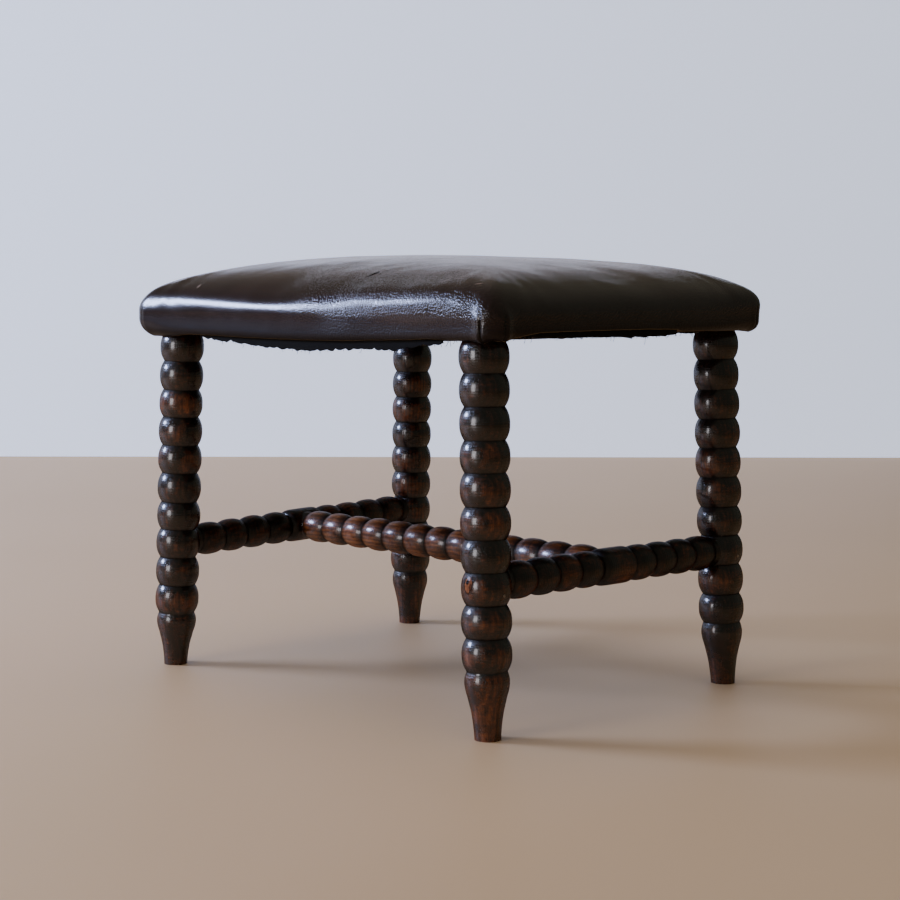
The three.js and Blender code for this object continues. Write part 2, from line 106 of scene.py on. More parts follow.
def add(material, kind, inputs=(), stops=(), out=None, **settings):
    """Inputs go by name or in order: a socket to link, a hex colour, a value, or None for no change."""
    node = material.node_tree.nodes.new(f"ShaderNode{kind}")
    for key, value in settings.items():
        setattr(node, key, value)
    if not isinstance(inputs, dict):
        inputs = dict(zip([index for index, socket in enumerate(node.inputs) if socket.enabled], inputs))
    for key, value in inputs.items():
        if isinstance(value, bpy.types.NodeSocket):
            material.node_tree.links.new(value, node.inputs[key])
        elif value is not None:
            node.inputs[key].default_value = linear(value) if isinstance(value, str) else value
    if stops:
        elements = node.color_ramp.elements
        while len(elements) < len(stops):
            elements.new(0.5)
        for element, (position, shade) in zip(elements, stops):
            element.position = position
            element.color = linear(shade) if isinstance(shade, str) else (shade, shade, shade, 1.0)
    return node.outputs[out] if out else next((socket for socket in node.outputs if socket.enabled), None)


print("nodes ready")

# %% [markdown]
# Three things come back in nearly every finish: cloudy patterns of a known size, colours laid over
# each other through masks, and relief from several heights. A pattern's size is that of its blobs
# in millimetres, and its coordinates may be squeezed, which draws it out along an axis.

# %% Patterns, layers of colour and relief
def patterns(material, place, **wanted):
    """A noise for each name, from (squeeze of the coordinates, size in mm, detail, roughness)."""
    drawn = []
    for squeeze, size, detail, roughness in wanted.values():
        laid = add(material, "Mapping", {"Vector": place, "Scale": squeeze})
        look = {"Vector": laid, "Scale": 1000 / size, "Detail": detail, "Roughness": roughness}
        drawn.append(add(material, "TexNoise", look))
    return drawn


def overlaid(material, tone, *layers):
    """The tone with colours laid over it in turn, each from (mask, strength of the mask, colour)."""
    for mask, strength, colour in layers:
        share = add(material, "Math", (mask, strength), operation="MULTIPLY")
        tone = add(material, "Mix", (share, tone, colour), data_type="RGBA")
    return tone


def relief(material, *heights):
    """A normal bent by each (height, depth in mm) in turn."""
    normal = None
    for height, depth in heights:
        normal = add(material, "Bump", {"Height": height, "Distance": depth * MM, "Normal": normal})
    return normal


EVEN = (1, 1, 1)
print("patterns, layers and relief ready")

# %% [markdown]
# The camera stands where the photographer stood: about 1.4 m off the corner, at the height of the
# seat, with a long lens, so the seat is seen almost edge on. The place was worked out from the
# necks of the four legs.

# %% Camera
LENS = 77.886
STANDING = (1.1203, -1.0960, 0.3342)
DOWN, ROUND, ROLLED = (math.radians(angle) for angle in (84.475, 45.432, 0.077))
SIDEWAYS = math.radians(45.4)
camera_data = bpy.data.cameras.new("camera")
camera_data.sensor_fit = "HORIZONTAL"
camera_data.sensor_width = 36.0
camera_data.lens = LENS
camera_data.clip_end = 60.0
camera = bpy.data.objects.new("camera", camera_data)
camera.location = STANDING
heading = Euler((DOWN, 0.0, ROUND), "XYZ").to_matrix() @ Matrix.Rotation(ROLLED, 3, "Z")
camera.rotation_euler = heading.to_euler()
bpy.context.scene.collection.objects.link(camera)
bpy.context.scene.camera = camera
to_right = Vector((math.cos(SIDEWAYS), math.sin(SIDEWAYS), 0.0))
to_viewer = Vector((to_right.y, -to_right.x, 0.0))
print("camera", tuple(round(c, 3) for c in camera.location))

# %% [markdown]
# The room is a plain pale floor and a cool pale wall a few metres behind. The wall glows a little,
# which lights it evenly. It falls off towards the right and ends just outside the picture there,
# where the room is dim, so the right of the seat gets only what the floor gives back.

# %% Floor and wall
FLOOR_SIZE = 12.0
WALL_DISTANCE = 3.33
WALL_LEFT_HEIGHT, WALL_RIGHT_HEIGHT = 1.8, 0.80
WALL_RIGHT = 0.90
WALL_GLOW = 1.12
CLOUD = 700


def plain_paint(name, colours, roughness, glow=0.0):
    # flat wall paint or scrubbed boards: matt, with the faintest cloudiness
    paint = new_material(name)
    place = add(paint, "TexCoord", out="Object")
    (cloud,) = patterns(paint, place, cloud=(EVEN, CLOUD, 2, 0.5))
    tone = add(paint, "Mix", (cloud, *colours), data_type="RGBA")
    look = {"Base Color": tone, "Roughness": roughness}
    look |= {"Emission Color": colours[0], "Emission Strength": glow}
    add(paint, "OutputMaterial", (add(paint, "BsdfPrincipled", look),))
    return paint


def panel(name, corners, material):
    bm = bmesh.new()
    bm.faces.new([bm.verts.new(corner) for corner in corners])
    mesh = bpy.data.meshes.new(name)
    bm.to_mesh(mesh)
    bm.free()
    mesh.materials.append(material)
    piece = bpy.data.objects.new(name, mesh)
    bpy.context.scene.collection.objects.link(piece)


half = FLOOR_SIZE / 2
floor_paint = plain_paint("pale_matt_floor", ("#c8a781", "#bb9a73"), 0.6)
panel("floor", [(-half, -half, 0), (half, -half, 0), (half, half, 0), (-half, half, 0)], floor_paint)
wall_middle = camera.location - to_viewer * WALL_DISTANCE
left, right = wall_middle - to_right * half, wall_middle + to_right * WALL_RIGHT
wall_corners = [
    (left.x, left.y, 0), (right.x, right.y, 0),
    (right.x, right.y, WALL_RIGHT_HEIGHT), (left.x, left.y, WALL_LEFT_HEIGHT),
]
panel("wall", wall_corners, plain_paint("cool_matt_wall", ("#c3ccdf", "#bcc5d8"), 0.9, WALL_GLOW))
print("floor and wall stand")

# %% [markdown]
# Two windows stand on the left, one beside the stool and one nearer to the camera, because each
# bead on the legs shows two highlights. A white ceiling lights the floor from all over; it is kept
# out of the reflections, or it would show as a bright square in the leather.

# %% Windows and room light
WINDOWS_AT = 2.6
CEILING_AT = 2.4
MIDDLE = Vector((0, 0, 0.2))
ROOM_TONE = "#c5c8b4"
ROOM_STRENGTH = 0.26


def window(name, direction, distance, size, power, colour):
    """An area light in a direction given as shares of right, towards the camera, and up."""
    right, viewer, up = direction
    out = (to_right * right + to_viewer * viewer + Vector((0, 0, up))).normalized()
    data = bpy.data.lights.new(name, "AREA")
    data.shape = "RECTANGLE"
    data.size, data.size_y = size
    data.energy = power
    data.color = linear(colour)[:3]
    lamp = bpy.data.objects.new(name, data)
    lamp.location = MIDDLE + out * distance
    lamp.rotation_euler = (-out).to_track_quat("-Z", "Y").to_euler()
    bpy.context.scene.collection.objects.link(lamp)
    return lamp


window("window_beside", (-0.92, -0.13, 0.36), WINDOWS_AT, (0.80, 0.44), 100, "#bccdff")
window("window_near", (-0.75, 0.65, 0.13), WINDOWS_AT, (0.80, 0.95), 33, "#efebf0")
ceiling = window("ceiling_bounce", (-0.15, 0.0, 1.0), CEILING_AT, (2.5, 2.5), 33, "#fff4e8")
ceiling.visible_glossy = False
world = bpy.data.worlds.new("room")
world.use_nodes = True
room = world.node_tree.nodes["Background"]
room.inputs["Color"].default_value = linear(ROOM_TONE)
room.inputs["Strength"].default_value = ROOM_STRENGTH
bpy.context.scene.world = world
print("two windows, a ceiling and a dim room")

# %% [markdown]
# Bobbin turning is a row of equal beads cut on a lathe. Each bead's outline is a little fuller than
# an arc of a circle, and two of them meet in a sharp V, the neck. The real ones were cut by eye,
# so each neck is a little off its mark and each bead a little fatter or thinner: a seeded random
# draw gives that. The outline is a list of points, radius and distance along, which is then spun
# about the axis.

# %% Outlines of beads
ARC_STEPS = 14
BEAD_POWER = 2.4
NECK_WANDER = 0.45
NECK_DEPTHS = (-0.2, 0.15)
BEAD_WANDER = (-0.16, 0.16 * 0.6)


def bead_marks(start, pitch, count, neck, crest, draw):
    """Where each neck falls and how fat each bead is."""
    necks = []
    for index in range(count + 1):
        inside = 0 < index < count
        shift = draw.uniform(-NECK_WANDER, NECK_WANDER) if inside else 0.0
        necks.append((start + index * pitch + shift, neck + draw.uniform(*NECK_DEPTHS)))
    crests = [crest + draw.uniform(*BEAD_WANDER) for _ in range(count)]
    return necks, crests


def bead_outline(necks, crests):
    """Points (radius, along, share of the way from neck to crest, bead number)."""
    points = []
    for index, crest in enumerate(crests):
        (low, low_radius), (high, high_radius) = necks[index], necks[index + 1]
        middle, half_length = (low + high) / 2, (high - low) / 2
        for step in range(ARC_STEPS + 1):
            if step == ARC_STEPS and index + 1 < len(crests):
                continue
            turn = math.sin(math.pi * (step / ARC_STEPS - 0.5))
            drop = (crest - (low_radius if turn < 0 else high_radius)) * abs(turn) ** BEAD_POWER
            points.append((crest - drop, middle + half_length * turn, 1 - turn * turn, index))
    return points


def smooth_outline(marks, steps):
    """A Catmull-Rom curve through (radius, along) marks, for a shape cut in one sweep."""
    ends = [marks[0], *marks, marks[-1]]
    points = []
    for a, b, c, d in zip(ends, ends[1:], ends[2:], ends[3:]):
        for step in range(steps):
            t = step / steps
            point = []
            for axis in (0, 1):
                p, q, r, s = a[axis], b[axis], c[axis], d[axis]
                cubic = (-p + 3 * q - 3 * r + s) * t**3 + (2 * p - 5 * q + 4 * r - s) * t**2
                point.append(0.5 * (cubic + (r - p) * t + 2 * q))
            points.append(tuple(point))
    return [*points, marks[-1]]


print("outlines ready")

# %% [markdown]
# Spinning the outline gives the body. Three measures are stored on its points for the finish to
# read: where the point lay in the square blank that was turned, so the growth rings run through
# the piece as through real timber; how much hands, shoes and dusters have worn it; and how much
# wax and dust has settled there, together with painted shade, most in the necks and where the
# piece meets another.

# %% Spin an outline
OUT_OF_ROUND = 0.1
LONG_KNOCKS, SHORT_KNOCKS = 19.0, 7.0


def spun(outline, steps, draw, pith, wobble=OUT_OF_ROUND):
    """The outline is (radius, along, worn, grime_and_shade) from one end of the axis to the other; the last
    is wax and dust with painted shade.
    """
    bm = bmesh.new()
    # wax and dust together with painted shade, most in the necks and where the piece meets another
    worn_layer = bm.verts.layers.float.new("worn")
    grime_and_shade_layer = bm.verts.layers.float.new("grime_and_shade")
    verts = []
    for radius, along, worn, grime_and_shade in outline:
        vert = bm.verts.new((radius, 0.0, along))
        vert[worn_layer], vert[grime_and_shade_layer] = worn, grime_and_shade
        verts.append(vert)
    edges = [bm.edges.new(pair) for pair in zip(verts, verts[1:])]
    bmesh.ops.spin(
        bm, geom=verts + edges, cent=(0, 0, 0), axis=(0, 0, 1), dvec=(0, 0, 0),
        angle=2 * math.pi, steps=steps, use_merge=True, use_duplicate=False,
    )
    bmesh.ops.remove_doubles(bm, verts=bm.verts, dist=0.001)
    bmesh.ops.recalc_face_normals(bm, faces=bm.faces)
    stock_layer = bm.verts.layers.float_vector.new("stock")
    seed = Vector((draw.uniform(0, 500), draw.uniform(0, 500), draw.uniform(0, 500)))
    for vert in bm.verts:
        vert[stock_layer] = (vert.co + Vector(pith) + Vector((0, 0, seed.z))) * MM
        out = Vector((vert.co.x, vert.co.y, 0.0))
        if out.length > 2.0:
            # shrinkage and knocks leave a turned piece very slightly out of round
            bulge = noise.noise(vert.co / LONG_KNOCKS + seed)
            bulge += 0.5 * noise.noise(vert.co / SHORT_KNOCKS + seed)
            vert.co += out.normalized() * wobble * bulge
    return bm


print("spin ready")

# %% [markdown]
# Some marks lie at one place: a chip, a nail hole, a nick. A patch is a mask for such a mark. It
# is an oval with torn edges, which is set by its middle, its half sizes and how soft its edge is.

# %% Patches
TATTERS = 1.8


def patch(material, centre, half_size, edge, turn=(0.0, 0.0, 0.0), ragged=0.5):
    """1 inside an uneven oval round a point, 0 outside: sizes in millimetres, turn in degrees."""
    place = add(material, "TexCoord", out="Object")
    oval = {
        "Vector": place, "Location": Vector(centre) * MM,
        "Rotation": [math.radians(angle) for angle in turn], "Scale": Vector(half_size) * MM,
    }
    shares = add(material, "Mapping", oval, vector_type="TEXTURE")
    away = add(material, "VectorMath", (shares,), operation="LENGTH")
    (tatters,) = patterns(material, place, tatters=(EVEN, TATTERS, 3, 0.5))
    away = add(material, "Math", (tatters, ragged, away), operation="MULTIPLY_ADD")
    # a ramp only reads from 0 to 1, so the distance is halved
    halved = add(material, "Math", (away, 0.5), operation="MULTIPLY")
    return add(material, "ValToRGB", (halved,), [(0.5 - edge / 2, 1.0), (0.5, 0.0)])


print("patches ready")

# %% [markdown]
# The wood is a plain hardwood, stained nearly black and waxed for decades. Where it stands proud
# the stain has rubbed through to orange brown, and the necks hold old wax and dust with painted shade.
# Light catches the wax in small hard highlights, a little broken by tool marks and dents.

# %% Figure and colour of stained hardwood
TONES_AT = (0.36, 0.50, 0.62, 0.78)
STAIN = ("#080504", "#150b09", "#24130f", "#371e16")
BARE = ("#3e1c0c", "#633013", "#80421c", "#97592a")
DRY_BARE = ("#3f200e", "#653718", "#844d24", "#9b6433")
RUB_OFFSET = -1.95
CHIP_RIM = 2.4


def wood_tone(wood, stock, grime_and_shade, lift, bare_tones, fibres, blotches):
    worn = add(wood, "Attribute", out="Fac", attribute_name="worn")
    # growth rings about 3 mm apart, cut through by the turning, faint under the stain; the marks of
    # handling run round a turned piece, across its fibres
    streaks, pores, marks = patterns(
        wood, stock, streaks=((1, 1, 0.2), 5.5, 3, 0.6), pores=((1, 1, 0.12), 0.5, 2, 0.6),
        marks=((0.8, 0.8, 2.2), 5.0, 4, 0.65),
    )
    laid = add(wood, "Mapping", {"Vector": stock, "Scale": (1, 1, 0.2)})
    growth = {"Vector": laid, "Scale": 95.0, "Distortion": 6.0}
    growth |= {"Detail": 3.0, "Detail Scale": 0.5, "Detail Roughness": 0.65}
    rings = add(wood, "TexWave", growth, out="Fac", wave_type="RINGS", rings_direction="Z")
    figure = 0.0
    for pattern, share in ((rings, 0.13), (fibres, 0.52), (streaks, 0.38)):
        figure = add(wood, "Math", (pattern, share, figure), operation="MULTIPLY_ADD")
    stain = add(wood, "ValToRGB", (figure,), list(zip(TONES_AT, STAIN)))
    bare = add(wood, "ValToRGB", (figure,), list(zip(TONES_AT, bare_tones)))
    rubbed = add(wood, "Math", (blotches, 2.1, RUB_OFFSET + lift), operation="MULTIPLY_ADD")
    rubbed = add(wood, "Math", (marks, 1.5, rubbed), operation="MULTIPLY_ADD")
    rubbed = add(wood, "Math", (worn, rubbed), operation="ADD")
    dark_pores = add(wood, "ValToRGB", (pores,), [(0.36, 0.35), (0.48, 1.0)])
    return overlaid(wood, stain, (rubbed, 0.85, bare)), dark_pores


print("wood colours ready")

# %% [markdown]
# The finish puts the pieces together: the chips with their dark rims and fresh wood, the wax that
# settled in the necks with painted shade over it, painted shade for the worm and nail holes, which
# are not cut, and the gloss. Old wax scatters what grazes it, so the edges of a bead stay dark
# against a bright wall.

# %% Stained and waxed hardwood
def stained_wood(name, lift=0.0, dullness=0.0, bare_tones=BARE, chips=(), holes=()):
    wood = new_material(name)
    stock = add(wood, "Attribute", out="Vector", attribute_name="stock")
    grime_and_shade = add(wood, "Attribute", out="Fac", attribute_name="grime_and_shade")
    fibres, blotches, dents = patterns(
        wood, stock, fibres=((1, 1, 0.07), 1.3, 4, 0.62), blotches=((1, 1, 0.7), 15, 4, 0.65),
        dents=(EVEN, 6.0, 3, 0.55),
    )
    tone, dark_pores = wood_tone(wood, stock, grime_and_shade, lift, bare_tones, fibres, blotches)
    facing = add(wood, "LayerWeight", out="Facing")
    shine = add(wood, "ValToRGB", (facing,), [(0.34, 0.46 - dullness), (0.74, 0.03)])
    fresh = add(wood, "ValToRGB", (fibres,), [(0.38, "#351a10"), (0.62, "#8a5535")])
    for centre, half_size in chips:
        rim = patch(wood, centre, [size + CHIP_RIM for size in half_size], 0.2)
        tone = overlaid(wood, tone, (rim, 1.0, "#0d0705"), (patch(wood, centre, half_size, 0.15), 1.0, fresh))
        waxed = add(wood, "Math", (rim, -0.85, 1.0), operation="MULTIPLY_ADD")
        shine = add(wood, "Math", (shine, waxed), operation="MULTIPLY")
    tone = add(wood, "Mix", (0.8, tone, dark_pores), data_type="RGBA", blend_type="MULTIPLY")
    # painted shade: near black in the necks and joints over their wax and dust, and in the holes, which are
    # not cut
    tone = overlaid(
        wood, tone, (grime_and_shade, 0.95, "#0a0605"),
        *((patch(wood, centre, half_size, 0.25), 1.0, "#040302") for centre, half_size in holes),
    )
    gloss = add(wood, "Math", (blotches, 0.28, 0.14 + dullness), operation="MULTIPLY_ADD")
    gloss = add(wood, "Math", (grime_and_shade, 0.3, gloss), operation="MULTIPLY_ADD", use_clamp=True)
    cuts = {"Vector": stock, "Scale": 160.0, "Distortion": 2.5, "Detail": 3.0, "Detail Scale": 2.0}
    tool_marks = add(wood, "TexWave", cuts, out="Fac", wave_type="BANDS", bands_direction="Z")
    shader = add(wood, "BsdfPrincipled", {
        "Base Color": tone, "Roughness": gloss, "IOR": 1.5,
        "Normal": relief(wood, (dents, 0.30), (fibres, 0.22), (tool_marks, 0.06), (dark_pores, 0.05)),
        "Specular IOR Level": add(wood, "Math", (shine, 0.5), operation="MULTIPLY"),
        "Coat Weight": add(wood, "Math", (shine, 1.8), operation="MULTIPLY"),
        "Coat Roughness": 0.15 + 0.6 * dullness, "Coat IOR": 1.45,
    })
    add(wood, "OutputMaterial", (shader,))
    return wood


# the worm hole and the nail hole are painted shade: dark spots, with no hole cut
WORMHOLE = (189.3, -36.7, 114.8)
CHIP = (177.9, -150.3, 111.3)
NAIL_HOLE = (177.1, -149.9, 112.6)
leg_wood = stained_wood("stained_waxed_hardwood_legs")
chipped_wood = stained_wood(
    "stained_waxed_hardwood_chipped_leg",
    chips=[(CHIP, (5.2, 6.0, 8.4))], holes=[(NAIL_HOLE, (2.3, 5.0, 2.6))],
)
side_wood = stained_wood(
    "stained_waxed_hardwood_side_stretchers", lift=0.10, dullness=0.15, holes=[(WORMHOLE, (1.3, 1.3, 1.3))],
)
cross_wood = stained_wood(
    "stained_waxed_hardwood_cross_stretcher", lift=0.30, dullness=0.06, bare_tones=DRY_BARE,
)
print("wood finishes ready")

# %% [markdown]
# A leg is ten beads over a tapered foot, with a round tenon on top that goes up into the seat
# frame. Its outline runs from the floor up: the foot is one smooth sweep through a few marks, and
# the beads follow. The rows of the four legs don't line up with each other, so each row has its
# own shift, and the foot below it is longer or shorter.

# %% Outline of a leg
SEAT_BOTTOM = 280.0
LEG_BEADS = 10
LEG_PITCH = 23.2
LEG_CREST = 17.95
LEG_NECK = 14.5
FOOT_LENGTH = 48.0
FOOT_SWELL = 16.2
FOOT_SHARES = [
    (0.575, -0.06), (0.600, 0.10), (0.645, 0.25), (0.715, 0.40), (0.795, 0.52),
    (0.875, 0.63), (0.950, 0.72), (0.995, 0.82), (0.975, 0.91), (0.890, 1.0),
]
BEAD_RUBS = (0.10, 0.62)
SHELTERED_BEADS, SHELTERED_RUB = 2, 0.25
TENON_RADIUS = 11.0
FRAME_UNDER = 281.6
FRAME_TOP = 301.9
TO_TRIM = 2.0


def leg_outline(draw, shift, foot_worn):
    foot_length = FOOT_LENGTH + shift
    foot_marks = [(FOOT_SWELL * share, foot_length * height - SEAT_BOTTOM) for share, height in FOOT_SHARES]
    points = [(0.0, foot_marks[0][1], 0.5, 0.3)]
    for radius, along in smooth_outline(foot_marks, 5)[:-1]:
        height = (along + SEAT_BOTTOM) / foot_length
        rim = max(0.0, 1 - height * 6)
        near_neck = max(0.0, (height - 0.93) / 0.07)
        points.append((radius, along, foot_worn + 0.35 * rim - 0.35 * near_neck, 0.35 * near_neck))
    necks, crests = bead_marks(foot_length - SEAT_BOTTOM, LEG_PITCH, LEG_BEADS, LEG_NECK, LEG_CREST, draw)
    rubs = [draw.uniform(*BEAD_RUBS) for _ in range(LEG_BEADS)]
    rubs[-SHELTERED_BEADS:] = [rub * SHELTERED_RUB for rub in rubs[-SHELTERED_BEADS:]]
    # the last value is wax and dust with painted shade, strongest in the necks
    for radius, along, fullness, bead in bead_outline(necks, crests):
        points.append((radius, along, rubs[bead] * fullness, (1 - fullness) ** 4))
    low, top = FRAME_UNDER - SEAT_BOTTOM, FRAME_TOP - SEAT_BOTTOM + TO_TRIM
    # painted shade is strongest where the leg goes up under the frame
    return points + [
        (LEG_NECK, low, 0.0, 1.0), (TENON_RADIUS, low, 0.0, 0.5),
        (TENON_RADIUS, top, 0.4, 0.2), (0.0, top, 0.4, 0.2),
    ]


print("leg outline ready")

# %% [markdown]
# Each leg is turned upright about its own axis, leaned out to its splay, and only then cut level
# with the floor, so the foot stands flat. The lower rim is bevelled where the floor has worn it.

# %% Legs
LEG_SPACING = (346.0, 260.0)
SPLAY = (9.3, 4.4)
LEG_STEPS = 60
RIM_BEVEL = 0.9
TENON_BEVEL = 0.3
FOOT_WORN = {(RIGHT, FRONT): 0.62, (LEFT, FRONT): 0.32, (RIGHT, BACK): 0.25, (LEFT, BACK): 0.3}
BEAD_SHIFT = {(RIGHT, FRONT): 0.4, (LEFT, FRONT): -4.2, (RIGHT, BACK): 1.0, (LEFT, BACK): 1.0}


def lean(side_x, side_y):
    """Moves a leg from its own axis to its place: the origin is on the axis at the seat's underside."""
    direction = Vector((-side_x * SPLAY[0], -side_y * SPLAY[1], SEAT_BOTTOM)).normalized()
    turn = Vector((0, 0, 1)).rotation_difference(direction).to_matrix().to_4x4()
    place = Vector((side_x * LEG_SPACING[0] / 2, side_y * LEG_SPACING[1] / 2, SEAT_BOTTOM))
    return Matrix.Translation(place) @ turn


def cut_level(bm, height, upwards, bevel):
    """Cuts everything beyond a level plane away, closes the cut and eases its rim."""
    normal = (0, 0, 1) if upwards else (0, 0, -1)
    bmesh.ops.bisect_plane(
        bm, geom=[*bm.verts, *bm.edges, *bm.faces], dist=0.0005,
        plane_co=(0, 0, height), plane_no=normal, clear_outer=True,
    )
    rim = [edge for edge in bm.edges if edge.is_boundary]
    bmesh.ops.holes_fill(bm, edges=rim, sides=0)
    rim = [edge for edge in bm.edges if all(abs(v.co.z - height) < 0.01 for v in edge.verts)]
    bmesh.ops.bevel(
        bm, geom=rim, offset=bevel, offset_type="OFFSET", segments=3, profile=0.5,
        affect="EDGES", clamp_overlap=True, material=-1,
    )


for number, corner in enumerate(((RIGHT, FRONT), (LEFT, FRONT), (RIGHT, BACK), (LEFT, BACK))):
    draw = random.Random(40 + number)
    pith = (draw.uniform(16, 30) * draw.choice((-1, 1)), draw.uniform(-12, 12), 0)
    bm = spun(leg_outline(draw, BEAD_SHIFT[corner], FOOT_WORN[corner]), LEG_STEPS, draw, pith)
    bmesh.ops.rotate(bm, matrix=Matrix.Rotation(draw.uniform(0, 6.28), 3, "Z"), verts=bm.verts)
    bmesh.ops.transform(bm, matrix=lean(*corner), verts=bm.verts)
    cut_level(bm, 0.0, False, RIM_BEVEL)
    cut_level(bm, FRAME_TOP, True, TENON_BEVEL)
    name = f"leg_{DEPTH_NAMES[corner[1]]}_{SIDE_NAMES[corner[0]]}"
    finish = chipped_wood if corner == (RIGHT, FRONT) else leg_wood
    finished(bm, f"turned_{name}", finish, [name])

# %% [markdown]
# The stretchers are turned the same way, from thinner stock. A side stretcher has four beads,
# a plain barrel and four more beads. The barrel is left fat so that the cross stretcher, a row of
# thirteen beads, can be let into it. All of them end in round tenons.

# %% Beads and tenons of a stretcher
STRETCHER_CREST = 13.65
STRETCHER_NECK = 10.6
LAST_NECK = ((0.3, 0.8), (1.2, 5.6))


def beads_between(start, end, count, draw, rub, grime_and_shade_power):
    pitch = (end - start) / count
    necks, crests = bead_marks(start, pitch, count, STRETCHER_NECK, STRETCHER_CREST, draw)
    rubs = [rub * draw.uniform(0.5, 1.35) for _ in crests]
    # the last value is wax and dust with painted shade, most in the necks
    return [
        (radius, along, rubs[bead] * fullness, (1 - fullness) ** grime_and_shade_power)
        for radius, along, fullness, bead in bead_outline(necks, crests)
    ]


def tenon(shoulder, size):
    """The last neck runs on a little, to fit against the round wood that it meets, and then steps down."""
    radius, length = size
    (near_rise, near), (seat_rise, seat), end = *LAST_NECK, length
    # the shoulder where the piece meets the round wood gets the most painted shade
    points = [
        (STRETCHER_NECK + near_rise, near, 0.0, 0.3), (STRETCHER_NECK + seat_rise, seat, 0.0, 0.1),
        (radius, seat, 0.0, 1.0), (radius, end, 0.4, 0.3), (0.0, end, 0.4, 0.3),
    ]
    return [
        (reach, shoulder + math.copysign(along, shoulder), worn, grime_and_shade)
        for reach, along, worn, grime_and_shade in points
    ]


print("rows of beads and tenons ready")

# %% [markdown]
# Put end to end, these make the two outlines. The barrel's is a flat arc that turns down steeply at
# its ends, where the next bead begins.

# %% Outlines of the stretchers
BARREL_LENGTH = 36.0
BARREL_RADIUS = 14.0
BARREL_STEPS = 14
BARREL_POWER = 9
SIDE_BEADS = 4
SIDE_X = 178.73
SIDE_SHOULDER = 114.45
SIDE_TENON = (8.0, 24.0)
CROSS_BEADS = 13
CROSS_SHOULDER = 164.43
CROSS_TENON = (7.0, 17.0)
CROSS_RUB, SIDE_RUB = 0.75, 0.20
CROSS_GRIME_AND_SHADE, SIDE_GRIME_AND_SHADE = 1.9, 4.0


def side_outline(draw):
    half_barrel = BARREL_LENGTH / 2
    left = beads_between(-SIDE_SHOULDER, -half_barrel, SIDE_BEADS, draw, SIDE_RUB, SIDE_GRIME_AND_SHADE)
    right = beads_between(half_barrel, SIDE_SHOULDER, SIDE_BEADS, draw, SIDE_RUB, SIDE_GRIME_AND_SHADE)
    barrel = []
    for step in range(1, 2 * BARREL_STEPS):
        turn = math.sin(math.pi / 2 * (step / BARREL_STEPS - 1))
        drop = (BARREL_RADIUS - STRETCHER_NECK) * abs(turn) ** BARREL_POWER
        # the steep ends of the barrel get painted shade, as the necks do
        barrel.append((BARREL_RADIUS - drop, half_barrel * turn, 0.3 * (1 - turn * turn), turn**8))
    ends = [tenon(side * SIDE_SHOULDER, SIDE_TENON) for side in (LEFT, RIGHT)]
    return [*ends[0][::-1], *left, *barrel, *right, *ends[1]]


def cross_outline(draw):
    beads = beads_between(-CROSS_SHOULDER, CROSS_SHOULDER, CROSS_BEADS, draw, CROSS_RUB, CROSS_GRIME_AND_SHADE)
    ends = [tenon(side * CROSS_SHOULDER, CROSS_TENON) for side in (LEFT, RIGHT)]
    return [*ends[0][::-1], *beads, *ends[1]]


print("stretcher outlines ready")

# %% [markdown]
# The stretchers are spun upright and laid down. Their mortises were set a little off their marks,
# up to 5 mm at the left, so each one lies slightly askew.

# %% Stretchers
STRETCHER_HEIGHT = 107.5
STRETCHER_STEPS = 52
MORTISE_REACH = 122.0
# how far the mortises are off their marks at the front and the back of each side
MORTISE_OFF = {RIGHT: (2.3, -1.0), LEFT: (-5.2, 0.0)}


def lay_down(bm, axis, x, low_end, high_end, reach):
    """Lays an upright spun piece along an axis; its two ends are a little off the drawn height."""
    rise = math.atan2(high_end - low_end, 2 * reach)
    turn = Matrix.Rotation(math.pi / 2 + (rise if axis == "X" else -rise), 4, axis)
    place = Matrix.Translation((x, 0, STRETCHER_HEIGHT + (low_end + high_end) / 2))
    bmesh.ops.transform(bm, matrix=place @ turn, verts=bm.verts)


for number, side_x in enumerate((RIGHT, LEFT)):
    draw = random.Random(70 + number)
    bm = spun(side_outline(draw), STRETCHER_STEPS, draw, (draw.uniform(14, 26), draw.uniform(-9, 9), 0))
    lay_down(bm, "X", side_x * SIDE_X, *MORTISE_OFF[side_x], MORTISE_REACH)
    name = f"side_stretcher_{SIDE_NAMES[side_x]}"
    finished(bm, f"turned_{name}", side_wood, [name])

draw = random.Random(80)
bm = spun(cross_outline(draw), STRETCHER_STEPS, draw, (20, 5, 0))
lay_down(bm, "Y", 0.0, sum(MORTISE_OFF[LEFT]) / 2, sum(MORTISE_OFF[RIGHT]) / 2, SIDE_X)
finished(bm, "turned_cross_stretcher", cross_wood, ["cross_stretcher"])

# %% [markdown]
# The seat is one hide pulled over a crowned pad and folded at the corners. The crown is a grid
# whose square rings are laid on the seat's outline. Its profile is a flattened arc, walked in
# steps that get shorter towards the shoulder, where the hide bends most.

# %% Profile of the crown
COVER_HALF = (204.5, 153.5)
COVER_CORNER = 12.0
COVER_CORNER_GROWTH = 60.0
SHOULDER = 295.5
CROWN = 40.6
PLAN_POWER = 3.4
HEIGHT_POWER = 2.05
HALF_LINES = 80
CROWD_CORNERS = 0.38
CROWD_SHOULDER = 0.40
MEAN_HALF = 180.0


def crowded(share, crowd):
    """Spaces equal steps closer together towards 1."""
    return share * (1 + crowd * (1 - share * share))


